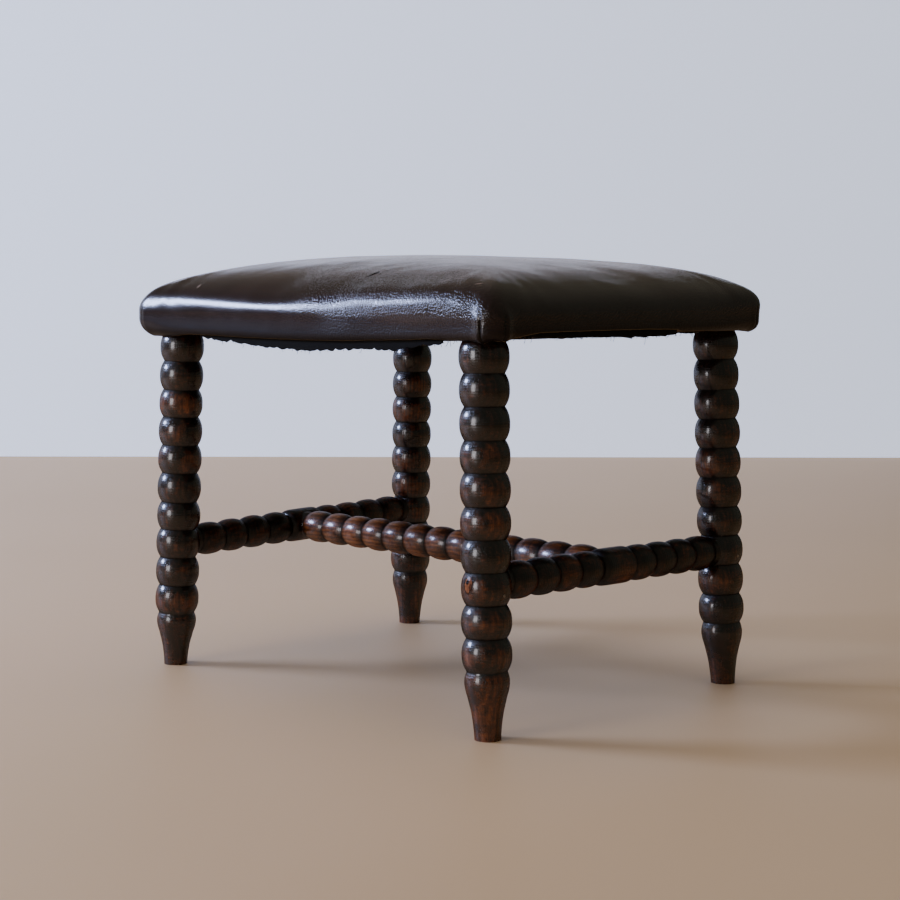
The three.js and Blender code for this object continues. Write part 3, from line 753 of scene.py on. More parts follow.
def crown_profile():
    """Share of the plan and height above the shoulder for each ring, and the slope there."""
    angles = np.linspace(0, math.pi / 2, 4001)
    plan = np.cos(angles) ** (2 / PLAN_POWER)
    height = CROWN * np.sin(angles) ** (2 / HEIGHT_POWER)
    plan[-1] = 0.0
    run = np.hypot(np.diff(plan) * MEAN_HALF, np.diff(height))
    walked = np.concatenate([[0], np.cumsum(run)])
    rings = np.arange(HALF_LINES + 1) / HALF_LINES
    wanted = walked[-1] * (1 - crowded(rings, CROWD_SHOULDER))
    ring_plan = np.interp(wanted, walked, plan)
    ring_height = np.interp(wanted, walked, height)
    fall = np.gradient(height, walked)
    reach = -np.gradient(plan, walked) * MEAN_HALF
    return ring_plan, ring_height, np.interp(wanted, walked, fall), np.interp(wanted, walked, reach)


RING_PLAN, RING_HEIGHT, RING_STEEP, RING_FLAT = crown_profile()
print("rings from", round(float(RING_PLAN[1]), 3), "to", round(float(RING_PLAN[-1]), 3))

# %% [markdown]
# Seen from above, each ring is a rectangle with round corners, which grow rounder towards the
# middle. A point is found by walking along its side of the ring, from the middle of the side
# towards the corner, with the steps closest in the bend.

# %% Plan of the rings
FAR_FROM_CORNER = 300.0


def outline_place(i, j):
    """Where grid point (i, j) lies: plan point, outward direction, and arc distance from the corner."""
    ring = max(abs(i), abs(j))
    if ring == 0:
        return 0.0, 0.0, 0.0, 0.0, FAR_FROM_CORNER
    corner = COVER_CORNER + COVER_CORNER_GROWTH * (1 - RING_PLAN[ring])
    on_x = abs(i) >= abs(j)
    ahead, across = (i, j) if on_x else (j, i)
    half_ahead, half_across = COVER_HALF if on_x else COVER_HALF[::-1]
    straight = half_across - corner
    total = straight + corner * math.pi / 4
    walked = crowded(abs(across) / ring, CROWD_CORNERS) * total
    bend = max(0.0, walked - straight) / corner
    far = half_ahead - corner + corner * math.cos(bend)
    wide = min(walked, straight) + corner * math.sin(bend)
    far, wide = math.copysign(far, ahead), math.copysign(wide, across)
    out_far, out_wide = math.copysign(math.cos(bend), ahead), math.copysign(math.sin(bend), across)
    place = (far, wide, out_far, out_wide) if on_x else (wide, far, out_wide, out_far)
    return (*place, (total - walked) * RING_PLAN[ring])


def crown_place(i, j):
    """A grid point on the crown without relief, its normal, and its distance from the corner."""
    ring = max(abs(i), abs(j))
    x, y, out_x, out_y, from_apex = outline_place(i, j)
    base = Vector((x * RING_PLAN[ring], y * RING_PLAN[ring], SHOULDER + RING_HEIGHT[ring]))
    normal = Vector((out_x * RING_STEEP[ring], out_y * RING_STEEP[ring], RING_FLAT[ring])).normalized()
    return base, normal, from_apex


print("the crown stands", round(float(SHOULDER + RING_HEIGHT[0]), 1), "mm high before its relief")

# %% [markdown]
# At each corner the hide is folded into two pleats with a smooth strip between them, which is
# pulled flat. A pleat is a narrow crease with a low fold beside it, deepest at the lower edge. The
# relief is a height in millimetres that is added along the surface's own normal.

# %% Pleats at the corners
PLEAT_AT = COVER_CORNER * math.pi / 4
PLEAT_DEPTH = 1.5
PLEAT_WIDTH = 0.8
FOLD_HEIGHT = 0.4
FOLD_AT, FOLD_WIDTH = 2.6, 3.2
STRIP_SUNK = 0.5
STRIP_FADE = 7.0
STRIP_SPREAD = {(RIGHT, FRONT): 1.4, (LEFT, FRONT): 0.2, (RIGHT, BACK): 0.2, (LEFT, BACK): 0.5}
PLEAT_SHARE = {(RIGHT, FRONT): 1.0, (LEFT, FRONT): 0.3, (RIGHT, BACK): 0.8, (LEFT, BACK): 0.8}
STRIP_TOP = 303.0


def interpolated(marks, value):
    return float(np.interp(value, [m[0] for m in marks], [m[1] for m in marks]))


def step_up(value, low, high):
    share = min(1.0, max(0.0, (value - low) / (high - low)))
    return share * share * (3 - 2 * share)


def bell(value, width):
    return math.exp(-((value / width) ** 2))


def pleats(from_apex, place):
    """Two creases either side of a corner strip, deepest at the bottom; the strip is pulled flat."""
    fade = 1 - step_up(place.z, SHOULDER - 1, STRIP_TOP)
    if fade <= 0:
        return 0.0, 0.0
    off = from_apex - PLEAT_AT
    crease = bell(off, PLEAT_WIDTH)
    corner = (RIGHT if place.x > 0 else LEFT, BACK if place.y > 0 else FRONT)
    spread, share = STRIP_SPREAD[corner], PLEAT_SHARE[corner]
    if off < 0:
        flat = (spread + STRIP_SUNK) * (from_apex / PLEAT_AT) ** 2 - STRIP_SUNK
    else:
        fold = FOLD_HEIGHT * bell(off - FOLD_AT, FOLD_WIDTH) * min(1.0, off)
        flat = spread * bell(off, STRIP_FADE) + share * fold
    # the second value is the crease, which the leather paints near black as shade
    return fade * (flat - share * PLEAT_DEPTH * crease), fade * share * crease


print("pleats ready")

# %% [markdown]
# A hide is never as even as a formula either. It sags between its tacks, stands in soft waves
# along the shoulder, pulls in faint folds towards each corner, and the pad was packed fuller in
# some places than in others, as the outline and the band of light in the photograph show. It also
# sits a little low at the front left and high at the back right.

# %% Waves, packing and tilt
SHOULDER_WAVE = (303, 9)
FRONT_BAND = (311.5, 9)
LEAN = 2.2
FRONT_SWELL = [
    (-204, 1.4), (-187, 2.1), (-167, 2.1), (-147, 1.6), (-108, 0.9), (-90, 0.4), (-70, -0.1),
    (-33, -0.5), (2, 0.2), (36, 0.9), (52, 1.9), (66, 2.8), (80, 2.8), (101, 3.1), (118, 3.9),
    (132, 4.1), (153, 3.9), (162, 3.4), (185, 1.7), (204, 0.3),
]
# height, middle, how far it reaches
FULL_CORNER = (3.2, (-204.5, -153.5), 46)
FULL_BACK = (1.9, (204.5, 153.5), 45)
FULL_MIDDLE = (3.5, (-38, -8), 98)


def ripple(*place):
    return noise.noise(Vector(place))


def soft_waves(point):
    """Low waves: long ones on the shoulder, shallow hollows on top, faint folds near the corners."""
    x, y, z = point
    shoulder = bell(z - SHOULDER_WAVE[0], SHOULDER_WAVE[1])
    wave = 0.9 * ripple(x / 62, y / 62, 3.1) + 0.15 * ripple(x / 27, y / 27, 7.7)
    hollow = 0.75 * ripple(x / 70 + 4, y / 48, 1.3) + 0.18 * ripple((x + y) / 40, (x - y) / 22, 9.2)
    short_x, short_y = abs(x) - COVER_HALF[0], abs(y) - COVER_HALF[1]
    angle = math.atan2(short_y + 60, short_x + 60)
    near = bell(math.hypot(short_x, short_y) - 34, 26) * step_up(z, 297, 305)
    folds = 0.22 * math.sin(angle * 17 + 2.5 * ripple(x / 50, y / 50, 5)) * near
    side = 0.35 * ripple(x / 45, y / 45, z / 30 + 20) * (1 - shoulder)
    return wave * shoulder + hollow * step_up(z, 300, 318) + folds + side


def packed(point):
    """Where the pad is fuller or slacker than an even crown."""
    x, y, z = point
    full = [
        height * bell(math.hypot(x - middle[0], y - middle[1]), reach)
        for height, middle, reach in (FULL_CORNER, FULL_BACK, FULL_MIDDLE)
    ]
    front = interpolated(FRONT_SWELL, x) * bell(z - FRONT_BAND[0], FRONT_BAND[1]) * step_up(-y, 90, 130)
    low, high = full[0] * (1 - step_up(z, 294, 318)), full[1] * bell(z - 308, 10)
    return low + high + full[2] * step_up(z, 314, 327) + front


def tilt(x, y, z):
    return LEAN * (x / COVER_HALF[0] + y / COVER_HALF[1]) / 2 * step_up(z, 284, 297)


print("relief ready")

# %% [markdown]
# A stretched hide also finds folds of its own. A coarse copy of the cover, a little too large for
# the pad, is blown up from below by a cloth simulation without gravity while its skirt is held, as
# tacks would hold it. Only the waves are taken over: what the whole hide rose by is taken away,
# because the form already fits, and no point moves by more than a cap. The next cells build the
# same grid at any fineness, so the waves are stored by place in the grid.

# %% Waves that a simulation gives
hide_waves = np.zeros((3, 3))


def pressed(i, j, z):
    """The simulated wave at grid point (i, j), dying away towards the shoulder."""
    reach = (len(hide_waves) - 1) / 2
    column, row = (i / HALF_LINES + 1) * reach, (j / HALF_LINES + 1) * reach
    low, left = min(int(column), int(2 * reach) - 1), min(int(row), int(2 * reach) - 1)
    across, along = column - low, row - left
    near = hide_waves[low, left] * (1 - along) + hide_waves[low, left + 1] * along
    far = hide_waves[low + 1, left] * (1 - along) + hide_waves[low + 1, left + 1] * along
    return float(near * (1 - across) + far * across) * step_up(z, 303, 316)


def relieved(base, normal, from_apex, i, j):
    """The place with all its relief, and how deep in a crease it lies."""
    pleat, crease = pleats(from_apex, base)
    lifted = base + normal * (pleat + soft_waves(base) + packed(base) + pressed(i, j, base.z))
    return lifted + Vector((0, 0, tilt(*base))), crease


print("room for waves")

# %% [markdown]
# Below the shoulder the hide goes straight down the frame, curls round its lower edge and ends in
# a raw cut. The cut isn't straight: at the left of the front it hangs lower, and on the right it
# was trimmed higher between the legs. So each side has a few marks for how low the curl starts and
# how long the path to the cut is, and the points between the marks follow from them.

# %% Path of the skirt
CURL_RADIUS = 6.0
LEFT_CURL = 6.5
FAR_CURL = 2.5
RIGHT_EDGE = [
    (-153, 18.9), (-138, 15.0), (-122, 12.1), (-106, 10.3), (-58, 10.1), (12, 10.7),
    (44, 11.5), (50, 13.2), (71, 13.7), (120, 15.5), (138, 18.0), (153, 20.0),
]
FRONT_DROOP = [
    (-204, 3.6), (-172, 5.0), (-112, 5.2), (-44, 6.1), (4, 5.9),
    (60, 4.6), (113, 2.6), (153, 0.6), (204, 0.0),
]
LEFT_DROOP = [(-153, 3.6), (-110, 3.6), (-40, 2.0), (40, 0.8), (153, 0.0)]
FRONT_LENGTH, FRONT_CORNER_LENGTH = 14.7, 4.4
BACK_LENGTH, BACK_CORNER_LENGTH = 16.6, 2.0
LEFT_EDGE = [(-153, 18.0), (-110, 16.0), (-60, 14.6), (40, 13.6), (100, 15.5), (153, 19.0)]


def skirt_measures(x, y):
    """How much lower the curl starts here, and how long the path is from the shoulder to the cut edge."""
    near_x = COVER_HALF[0] - abs(x)
    near_y = COVER_HALF[1] - abs(y)
    on_side = near_x < near_y
    if on_side and x > 0:
        droop, length = 0.0, interpolated(RIGHT_EDGE, y)
    elif on_side:
        droop, length = interpolated(LEFT_DROOP, y), interpolated(LEFT_EDGE, y)
        length += droop
    elif y < 0:
        droop = interpolated(FRONT_DROOP, x)
        length = FRONT_LENGTH + droop + FRONT_CORNER_LENGTH * step_up(abs(x), 135, 175)
    else:
        droop = 0.6 * math.sin(x / 55)
        length = BACK_LENGTH + droop + BACK_CORNER_LENGTH * step_up(abs(x), 140, 190)
    return droop, length + 0.35 * ripple(x / 14, y / 14, 31)


def curl_at(x, y):
    """The lower edge is rounder on the left side and at the far right corner, as the photograph shows."""
    left = step_up(-x, 150, 200)
    far = step_up(x, 170, 200) * step_up(y, 80, 140)
    return CURL_RADIUS + max(LEFT_CURL * left, FAR_CURL * far)


def skirt_place(x, y, out, walked, droop):
    """Plan point, height and normal at a distance down the path from the shoulder."""
    radius = curl_at(x, y)
    straight = SHOULDER - (SEAT_BOTTOM + radius) + droop
    curl = radius * math.pi / 2
    bend = min(max(walked - straight, 0.0), curl) / radius
    inset = radius * (1 - math.cos(bend)) + max(0.0, walked - straight - curl)
    z = SHOULDER - min(walked, straight) - radius * math.sin(bend)
    normal = Vector((out.x * math.cos(bend), out.y * math.cos(bend), -math.sin(bend)))
    return Vector((x - out.x * inset, y - out.y * inset, z)), normal


print("path of the skirt ready")

# %% [markdown]
# The grid is made in one call and every point is then moved to its place. The skirt is extruded
# from the grid's rim ring by ring: each point remembers its place in the grid, so each new ring
# can be set on the path that the hide takes there. A coarse sheet, for the simulation, takes every
# fourth line of the fine grid, so both share one form.

# %% Hide in one sheet
SKIRT_RINGS = 20
CUT_WIDTH = 1.3


def cover_shape(half_lines):
    bm = bmesh.new()
    bmesh.ops.create_grid(bm, x_segments=2 * half_lines, y_segments=2 * half_lines, size=1.0)
    column, row = bm.verts.layers.int.new("column"), bm.verts.layers.int.new("row")
    # fold is how deep a point lies in a crease; the leather paints it near black as shade
    cut, fold = bm.verts.layers.float.new("cut_edge"), bm.verts.layers.float.new("fold")
    step = HALF_LINES // half_lines
    for vert in bm.verts:
        vert[column], vert[row] = round(vert.co.x * half_lines) * step, round(vert.co.y * half_lines) * step
        i, j = vert[column], vert[row]
        vert.co, vert[fold] = relieved(*crown_place(i, j), i, j)
    rim = [edge for edge in bm.edges if edge.is_boundary]
    for ring in range(1, SKIRT_RINGS + 1):
        rim = bmesh.ops.extrude_edge_only(bm, edges=rim)["geom"]
        fresh = [item for item in rim if isinstance(item, bmesh.types.BMVert)]
        rim = [item for item in rim if isinstance(item, bmesh.types.BMEdge)]
        for vert in fresh:
            x, y, out_x, out_y, from_apex = outline_place(vert[column], vert[row])
            droop, length = skirt_measures(x, y)
            share = ring / SKIRT_RINGS
            base, normal = skirt_place(x, y, Vector((out_x, out_y, 0)), length * share, droop)
            vert.co, vert[fold] = relieved(base, normal, from_apex, vert[column], vert[row])
            vert[cut] = max(0.0, 1 - (1 - share) * length / CUT_WIDTH)
    bmesh.ops.recalc_face_normals(bm, faces=bm.faces)
    return bm


print("skirt ready")

# %% [markdown]
# Before the simulation come its settings, which are those of a stiff, heavy hide, and two small
# helpers: one evens out a table of heights, and one reads where all points of a mesh are.

# %% Settings and tables
PRESSURE = 3.0
TOO_LARGE = 0.014
COWHIDE = {
    "quality": 6, "mass": 0.4, "tension_stiffness": 30.0, "compression_stiffness": 30.0,
    "shear_stiffness": 20.0, "bending_stiffness": 4.0, "shrink_min": -TOO_LARGE,
    "use_pressure": True, "uniform_pressure_force": PRESSURE, "vertex_group_mass": "held",
}


def evened(field, reach):
    """The field averaged over a square of 2 * reach + 1 points, twice."""
    window = np.ones(2 * reach + 1) / (2 * reach + 1)

    def mean(line):
        return np.convolve(np.pad(line, reach, "edge"), window, "valid")

    for axis in (0, 1, 0, 1):
        field = np.apply_along_axis(mean, axis, field)
    return field


def places(mesh):
    table = np.empty(len(mesh.vertices) * 3)
    mesh.vertices.foreach_get("co", table)
    return table.reshape(-1, 3) / MM


print("settings ready")

# %% [markdown]
# The simulation itself. The copy is removed afterwards, and only the table of waves is kept.

# %% Press the hide from below
COARSE_LINES = 20
SIMULATED_FRAMES = 20
MOST_RISE = 1.2
TAKEN_OVER = 0.28
EVEN_OVER = 3


def simulated_waves():
    bm = cover_shape(COARSE_LINES)
    bmesh.ops.scale(bm, vec=(MM, MM, MM), verts=bm.verts)
    mesh = bpy.data.meshes.new("coarse_hide")
    bm.to_mesh(mesh)
    bm.free()
    coarse = bpy.data.objects.new("coarse_hide", mesh)
    bpy.context.scene.collection.objects.link(coarse)
    on_top = (2 * COARSE_LINES + 1) ** 2
    held = coarse.vertex_groups.new(name="held")
    held.add(list(range(on_top, len(mesh.vertices))), 1.0, "REPLACE")
    hide = coarse.modifiers.new("hide", "CLOTH")
    for setting, value in COWHIDE.items():
        setattr(hide.settings, setting, value)
    hide.settings.effector_weights.gravity = 0.0
    hide.collision_settings.use_collision = False
    before = places(mesh)
    normals = np.array([tuple(vert.normal) for vert in mesh.vertices])
    for number in range(1, SIMULATED_FRAMES + 1):
        bpy.context.scene.frame_set(number)
    evaluated = coarse.evaluated_get(bpy.context.evaluated_depsgraph_get())
    moved = ((places(evaluated.data) - before) * normals).sum(axis=1)[:on_top]
    bpy.context.scene.frame_set(1)
    bpy.data.objects.remove(coarse)
    rows = moved.reshape(2 * COARSE_LINES + 1, 2 * COARSE_LINES + 1).T
    waves = TAKEN_OVER * np.clip(evened(rows, 1) - evened(rows, EVEN_OVER), -MOST_RISE, MOST_RISE)
    lowest, highest = waves.min().round(2), waves.max().round(2)
    print("the hide rose by", rows.mean().round(2), "mm; waves", lowest, "to", highest)
    return waves


hide_waves = simulated_waves()

# %% [markdown]
# The hide is a dark oxblood cowhide with a pebbled grain. The pebbles are about 1.2 mm across,
# cells with fine valleys between them, and a light that grazes them breaks into sparks. They are
# worn smooth at the left of the seat and crisp at the right, and strongest round the shoulder.

# %% Pebbles of the grain
PEBBLE = 1.6
PEBBLE_BENT = (0.0011, 0.0011, 0.0011)


def leather_grain(leather, place, along, height):
    """The cells, and the pebbles as a height."""
    warp, uneven = patterns(leather, place, warp=(EVEN, 3.0, 2, 0.5), uneven=(EVEN, 55, 3, 0.5))
    bent = add(leather, "VectorMath", (warp, PEBBLE_BENT, place), operation="MULTIPLY_ADD")
    grain = {"Vector": bent, "Scale": 1000 / PEBBLE, "Randomness": 0.95}
    cells = add(leather, "TexVoronoi", grain, feature="F1")
    pebbles = add(leather, "ValToRGB", (cells,), [(0.10, 1.0), (0.42, 0.72), (0.75, 0.0)])
    crisp = add(leather, "Math", (uneven, 0.09, along), operation="MULTIPLY_ADD")
    crisp = add(leather, "MapRange", (crisp, 0.0, 0.085, 0.12, 1.0))
    raised = add(leather, "Math", (height, 3.0), operation="MULTIPLY")
    stretch = add(leather, "ValToRGB", (raised,), [(0.876, 0.35), (0.897, 1.0), (0.955, 1.0), (0.985, 0.4)])
    for share in (crisp, stretch):
        pebbles = add(leather, "Math", (pebbles, share), operation="MULTIPLY")
    return cells, pebbles


print("pebbles ready")

# %% [markdown]
# The colour is nearly black in the valleys, with painted shade in the creases of the folds, redder
# where it is rubbed, and the raw cut edge shows the tan of the undyed skin. Towards the lower edge it
# is painted darker, as shade, and dull. The gloss is that of old polish: strong on the shoulder, less
# on the right of the top, and broken by dust and dry grain where the surface is grazed. A nick, with
# painted shade in its slit, a scuff and a spot lie where they show.

# %% Pebbled oxblood leather
NICK, NICK_LIP, NICK_TURN = (52.2, -122.9, 324.6), (53.9, -123.6, 324.3), (0.0, 0.0, -20.0)
SCUFF, SCUFF_TURN = (176.0, -138.1, 318.2), (0.0, 0.0, 45.0)
SPOT = (-134.0, -142.5, 314.5)
BARE_SKIN = "#8a7468"
SHINE = 0.39


def pebbled_leather():
    leather = new_material("pebbled_oxblood_leather")
    place = add(leather, "TexCoord", out="Object")
    along, height = (add(leather, "SeparateXYZ", (place,), out=axis) for axis in ("X", "Z"))
    cut, fold = (add(leather, "Attribute", out="Fac", attribute_name=name) for name in ("cut_edge", "fold"))
    cells, pebbles = leather_grain(leather, place, along, height)
    soft, mottle, wear, creases = patterns(
        leather, place, soft=(EVEN, 26, 3, 0.55), mottle=(EVEN, 9, 4, 0.6),
        wear=((1.0, 1.0, 2.2), 60, 4, 0.6), creases=((1.0, 0.6, 1.0), 12, 3, 0.5),
    )
    # the nick's slit is painted near black as shade
    nick = patch(leather, NICK, (2.3, 7.2, 9.0), 0.22, NICK_TURN, ragged=0.15)
    lip = patch(leather, NICK_LIP, (1.2, 4.6, 9.0), 0.4, NICK_TURN, ragged=0.3)
    scuff = patch(leather, SCUFF, (3.6, 1.1, 8.0), 0.6, SCUFF_TURN, ragged=0.3)
    spot = patch(leather, SPOT, (1.5, 2.6, 8.0), 0.5, ragged=0.3)
    scuff = add(leather, "Math", (scuff, spot), operation="MAXIMUM")
    # painted shade: darker towards the lower edge of the skirt
    low = add(leather, "MapRange", (height, 0.292, 0.278, 0.0, 0.85))
    raw = add(leather, "ValToRGB", (cut,), [(0.55, 0.0), (0.75, 1.0)])
    rubbed = add(leather, "ValToRGB", (wear,), [(0.52, 0.0), (0.72, 1.0)])
    valleys = add(leather, "ValToRGB", (cells,), [(0.45, 1.0), (0.85, 0.55)])
    tone = add(leather, "Mix", (soft, "#180d0b", "#221412"), data_type="RGBA")
    tone = overlaid(leather, tone, (mottle, 0.4, "#221316"), (rubbed, 0.3, "#2e1a18"))
    tone = add(leather, "Mix", (0.7, tone, valleys), data_type="RGBA", blend_type="MULTIPLY")
    # painted shade: the folds and the nick near black, and darker towards the lower edge
    tone = overlaid(
        leather, tone, (fold, 0.92, "#050303"), (lip, 0.45, BARE_SKIN), (scuff, 0.7, BARE_SKIN),
        (nick, 1.0, "#070404"), (low, 1.0, "#090606"), (raw, 1.0, "#5d4f3b"),
    )
    dry = add(leather, "Math", (raw, scuff), operation="MAXIMUM")
    gloss = 0.185
    for pattern, share in ((soft, 0.10), (low, 0.25), (dry, 0.5)):
        gloss = add(leather, "Math", (pattern, share, gloss), operation="MULTIPLY_ADD")
    whole = add(leather, "Math", (1.0, nick), operation="SUBTRACT")
    facing = add(leather, "LayerWeight", out="Facing")
    grazed = add(leather, "ValToRGB", (facing,), [(0.86, 1.0), (0.96, 0.62), (1.0, 0.30)])
    rightward = add(leather, "MapRange", (along, -0.05, 0.12, 0.12, 0.62))
    on_top = add(leather, "MapRange", (height, 0.318, 0.326, 0.0, 1.0))
    dulled = add(leather, "Math", (rightward, on_top), operation="MULTIPLY")
    lively = add(leather, "Math", (1.0, dulled), operation="SUBTRACT")
    shine = add(leather, "MapRange", (low, 0.0, 1.0, SHINE, 0.04))
    for share in (whole, grazed, lively):
        shine = add(leather, "Math", (shine, share), operation="MULTIPLY")
    dusty = add(leather, "MapRange", (height, 0.305, 0.325, 0.0, 0.15))
    torn = add(leather, "Math", (lip, nick), operation="SUBTRACT")
    shader = add(leather, "BsdfPrincipled", {
        "Base Color": tone, "Roughness": gloss, "IOR": 1.45, "Specular IOR Level": shine,
        "Normal": relief(leather, (soft, 0.09), (creases, 0.09), (pebbles, 0.30), (torn, 0.8)),
        "Coat Weight": add(leather, "Math", (shine, 0.55), operation="MULTIPLY"),
        "Coat Roughness": 0.18, "Coat IOR": 1.4,
        "Sheen Weight": add(leather, "Math", (dusty, whole), operation="MULTIPLY"),
        "Sheen Roughness": 0.4, "Sheen Tint": "#ffd8b4",
    })
    add(leather, "OutputMaterial", (shader,))
    return leather


hide_leather = pebbled_leather()
print("leather ready")

# %% [markdown]
# Now the cover can be made, on the finest grid and with the waves. Its form is that of the outer
# face, so the hide gets its thickness inwards.

# %% Leather cover
HIDE_THICKNESS = 1.5
SHARPEST_FOLD = math.radians(60)
bm = cover_shape(HALF_LINES)
cover = finished(bm, "leather_hide", hide_leather, ["leather_cover"], sharp=SHARPEST_FOLD)
hide = cover.modifiers.new("hide_thickness", "SOLIDIFY")
hide.thickness = HIDE_THICKNESS * MM
hide.offset = -1.0
hide.use_even_offset = False

# %% [markdown]
# Under the seat a black cotton cloth keeps the dust in. It is tacked to the underside of the
# frame, sags a little in the middle, and its border was never turned in: at the front, the back
# and the left it hangs loose below the leather, frayed into an uneven fringe, and on the right it
# is drawn up round the lower edge of the frame, behind the leather's raw edge. As with the hide,
# a few marks for each side say how far the border hangs.

# %% Level and border of the bottom cloth
CLOTH_LEVEL = 279.3
CLOTH_FOLD = (199.2, 148.3)
CLOTH_SAG = 2.5
FRONT_HANG = [
    (-152, 0.8), (-135, 3.6), (-105, 6.9), (-61, 9.4), (-13, 11.4),
    (33, 10.4), (77, 8.8), (109, 7.0), (129, 4.4), (152, 2.0),
]
BACK_HANG = [(-152, 1.6), (-90, 4.6), (-20, 6.2), (50, 5.0), (110, 3.6), (152, 1.4)]
LEFT_HANG = [(-109, 1.2), (-50, 3.0), (20, 3.7), (109, 1.4)]
RIGHT_RISE = [(-137, 2.9), (-109, 2.8), (-80, 2.2), (-53, 1.6), (0, 0.6), (44, 0.3), (49, 2.2), (109, 2.3)]
RIGHT_TOP = 285.3


def frayed(along, seed):
    """How far the torn edge strays: threads pulled out singly and in small tufts."""
    return 1.5 * ripple(along / 4.2, seed, 0.5) + 0.9 * ripple(along / 1.3, seed + 9, 0.5)


def cloth_level(x, y):
    sag = CLOTH_SAG * (1 - (x / CLOTH_FOLD[0]) ** 2) * (1 - (y / CLOTH_FOLD[1]) ** 2)
    slack = 0.35 * ripple(x / 38, y / 38, 2.0)
    rise = interpolated(RIGHT_RISE, y) * step_up(x, 150, 196) + 0.7 * frayed(y, 27.0) * step_up(x, 190, 199)
    return CLOTH_LEVEL - max(0.0, sag) + slack * step_up(180 - abs(x), 0, 30) + rise


print("cloth level in the middle", round(cloth_level(0, 0), 2))

# %% [markdown]
# The cloth was cut from one piece, so it is one grid, with the lines closest at the border. For
# each point the script works out where it hangs and where it lay on the cutting table: the first
# gives the form, and the second gives the weave its place and the cloth its flat size. The corners
# are torn out round the legs, where a tongue of cloth is left outside the front right one.

# %% Place of each point of the cloth
CLOTH_LINES = (96, 84)
BORDER_LINES = 8
CROWD_BORDER = 0.30
NOTCH = (151.0, 108.0)
TORN_FROM, TORN_BACK = 46.0, 198.0
BESIDE_LEG = (190.0, 137.0)


def cloth_station(index, lines, fold):
    """Distance from the middle up to the fold, and the share of the border beyond it."""
    flat_lines = lines - BORDER_LINES
    border = max(0, abs(index) - flat_lines) / BORDER_LINES
    flat = crowded(min(abs(index), flat_lines) / flat_lines, CROWD_BORDER) * fold
    return math.copysign(flat, index), border


def cloth_place(i, j):
    """Where a point of the cloth hangs, and where it lay before."""
    x, border_x = cloth_station(i, CLOTH_LINES[0], CLOTH_FOLD[0])
    y, border_y = cloth_station(j, CLOTH_LINES[1], CLOTH_FOLD[1])
    hung = Vector((x, y, cloth_level(x, y)))
    cut = Vector((x, y, 0.0))
    if border_y:
        marks = FRONT_HANG if y < 0 else BACK_HANG
        length = max(0.6, interpolated(marks, x) + frayed(x, 3.0 if y < 0 else 5.0)) * border_y
        wave = 0.5 * ripple(x / 16, 8.0, length / 9) * border_y
        hung += Vector((0, math.copysign(0.25 + wave, y), -length))
        cut.y += math.copysign(length, y)
    elif border_x and x < 0:
        length = max(0.6, interpolated(LEFT_HANG, y) + frayed(y, 7.0)) * border_x
        hung += Vector((-0.25, 0, -length))
        cut.x -= length
    elif border_x:
        bend = border_x * math.pi / 2 * 0.97
        rise = RIGHT_TOP - hung.z + 0.5 * frayed(y, 11.0)
        hung += Vector((3.7 * math.sin(bend), 0, rise * (1 - math.cos(bend))))
        cut.x += 1.2 * rise * border_x
    return hung, cut


def torn_away(cut):
    notch_x = NOTCH[0] + 1.2 * frayed(cut.y, 13.0)
    notch_y = NOTCH[1] + 1.2 * frayed(cut.x, 17.0)
    tongue = cut.x > BESIDE_LEG[0] and -BESIDE_LEG[1] < cut.y < 0
    corner = abs(cut.x) > notch_x and abs(cut.y) > notch_y and not tongue
    return corner or (cut.x > TORN_BACK + frayed(cut.y, 19.0) and cut.y > TORN_FROM + frayed(cut.x, 23.0))


print("the border hangs up to", max(length for _, length in FRONT_HANG), "mm at the front")

# %% [markdown]
# The cloth is a plain black cotton weave, quite matt, with a little grey dust. Its threads are
# drawn about 0.7 mm apart, twice the real spacing, so that they show. The pattern follows the
# place that each point had in the flat cloth, which is stored on the mesh.

# %% Black cotton
CLOTH_THICKNESS = 0.5
# the scale of a wave is its bands per 2 pi / 20 of a unit
BANDS = 1000 * math.pi / 10


def woven(name, tones, thread_mm, roughness, depth_mm, dust, dusty):
    cloth = new_material(name)
    flat = add(cloth, "Attribute", out="Vector", attribute_name="flat_place")
    look = {"Vector": flat, "Scale": BANDS / thread_mm, "Distortion": 1.2, "Detail Scale": 0.6}
    warp, weft = (add(cloth, "TexWave", look, out="Fac", bands_direction=axis) for axis in ("X", "Y"))
    weave = add(cloth, "Math", (warp, weft), operation="MULTIPLY")
    (worn,) = patterns(cloth, flat, worn=(EVEN, 24, 4, 0.65))
    tone = add(cloth, "Mix", (weave, *tones), data_type="RGBA")
    look = {"Base Color": overlaid(cloth, tone, (worn, dusty, dust)), "Roughness": roughness}
    look |= {"Normal": relief(cloth, (weave, depth_mm)), "Specular IOR Level": 0.15}
    add(cloth, "OutputMaterial", (add(cloth, "BsdfPrincipled", look),))
    return cloth


black_cotton = woven("black_cotton_cloth", ("#030303", "#0b0b0c"), 0.7, 0.95, 0.12, "#161412", 0.25)


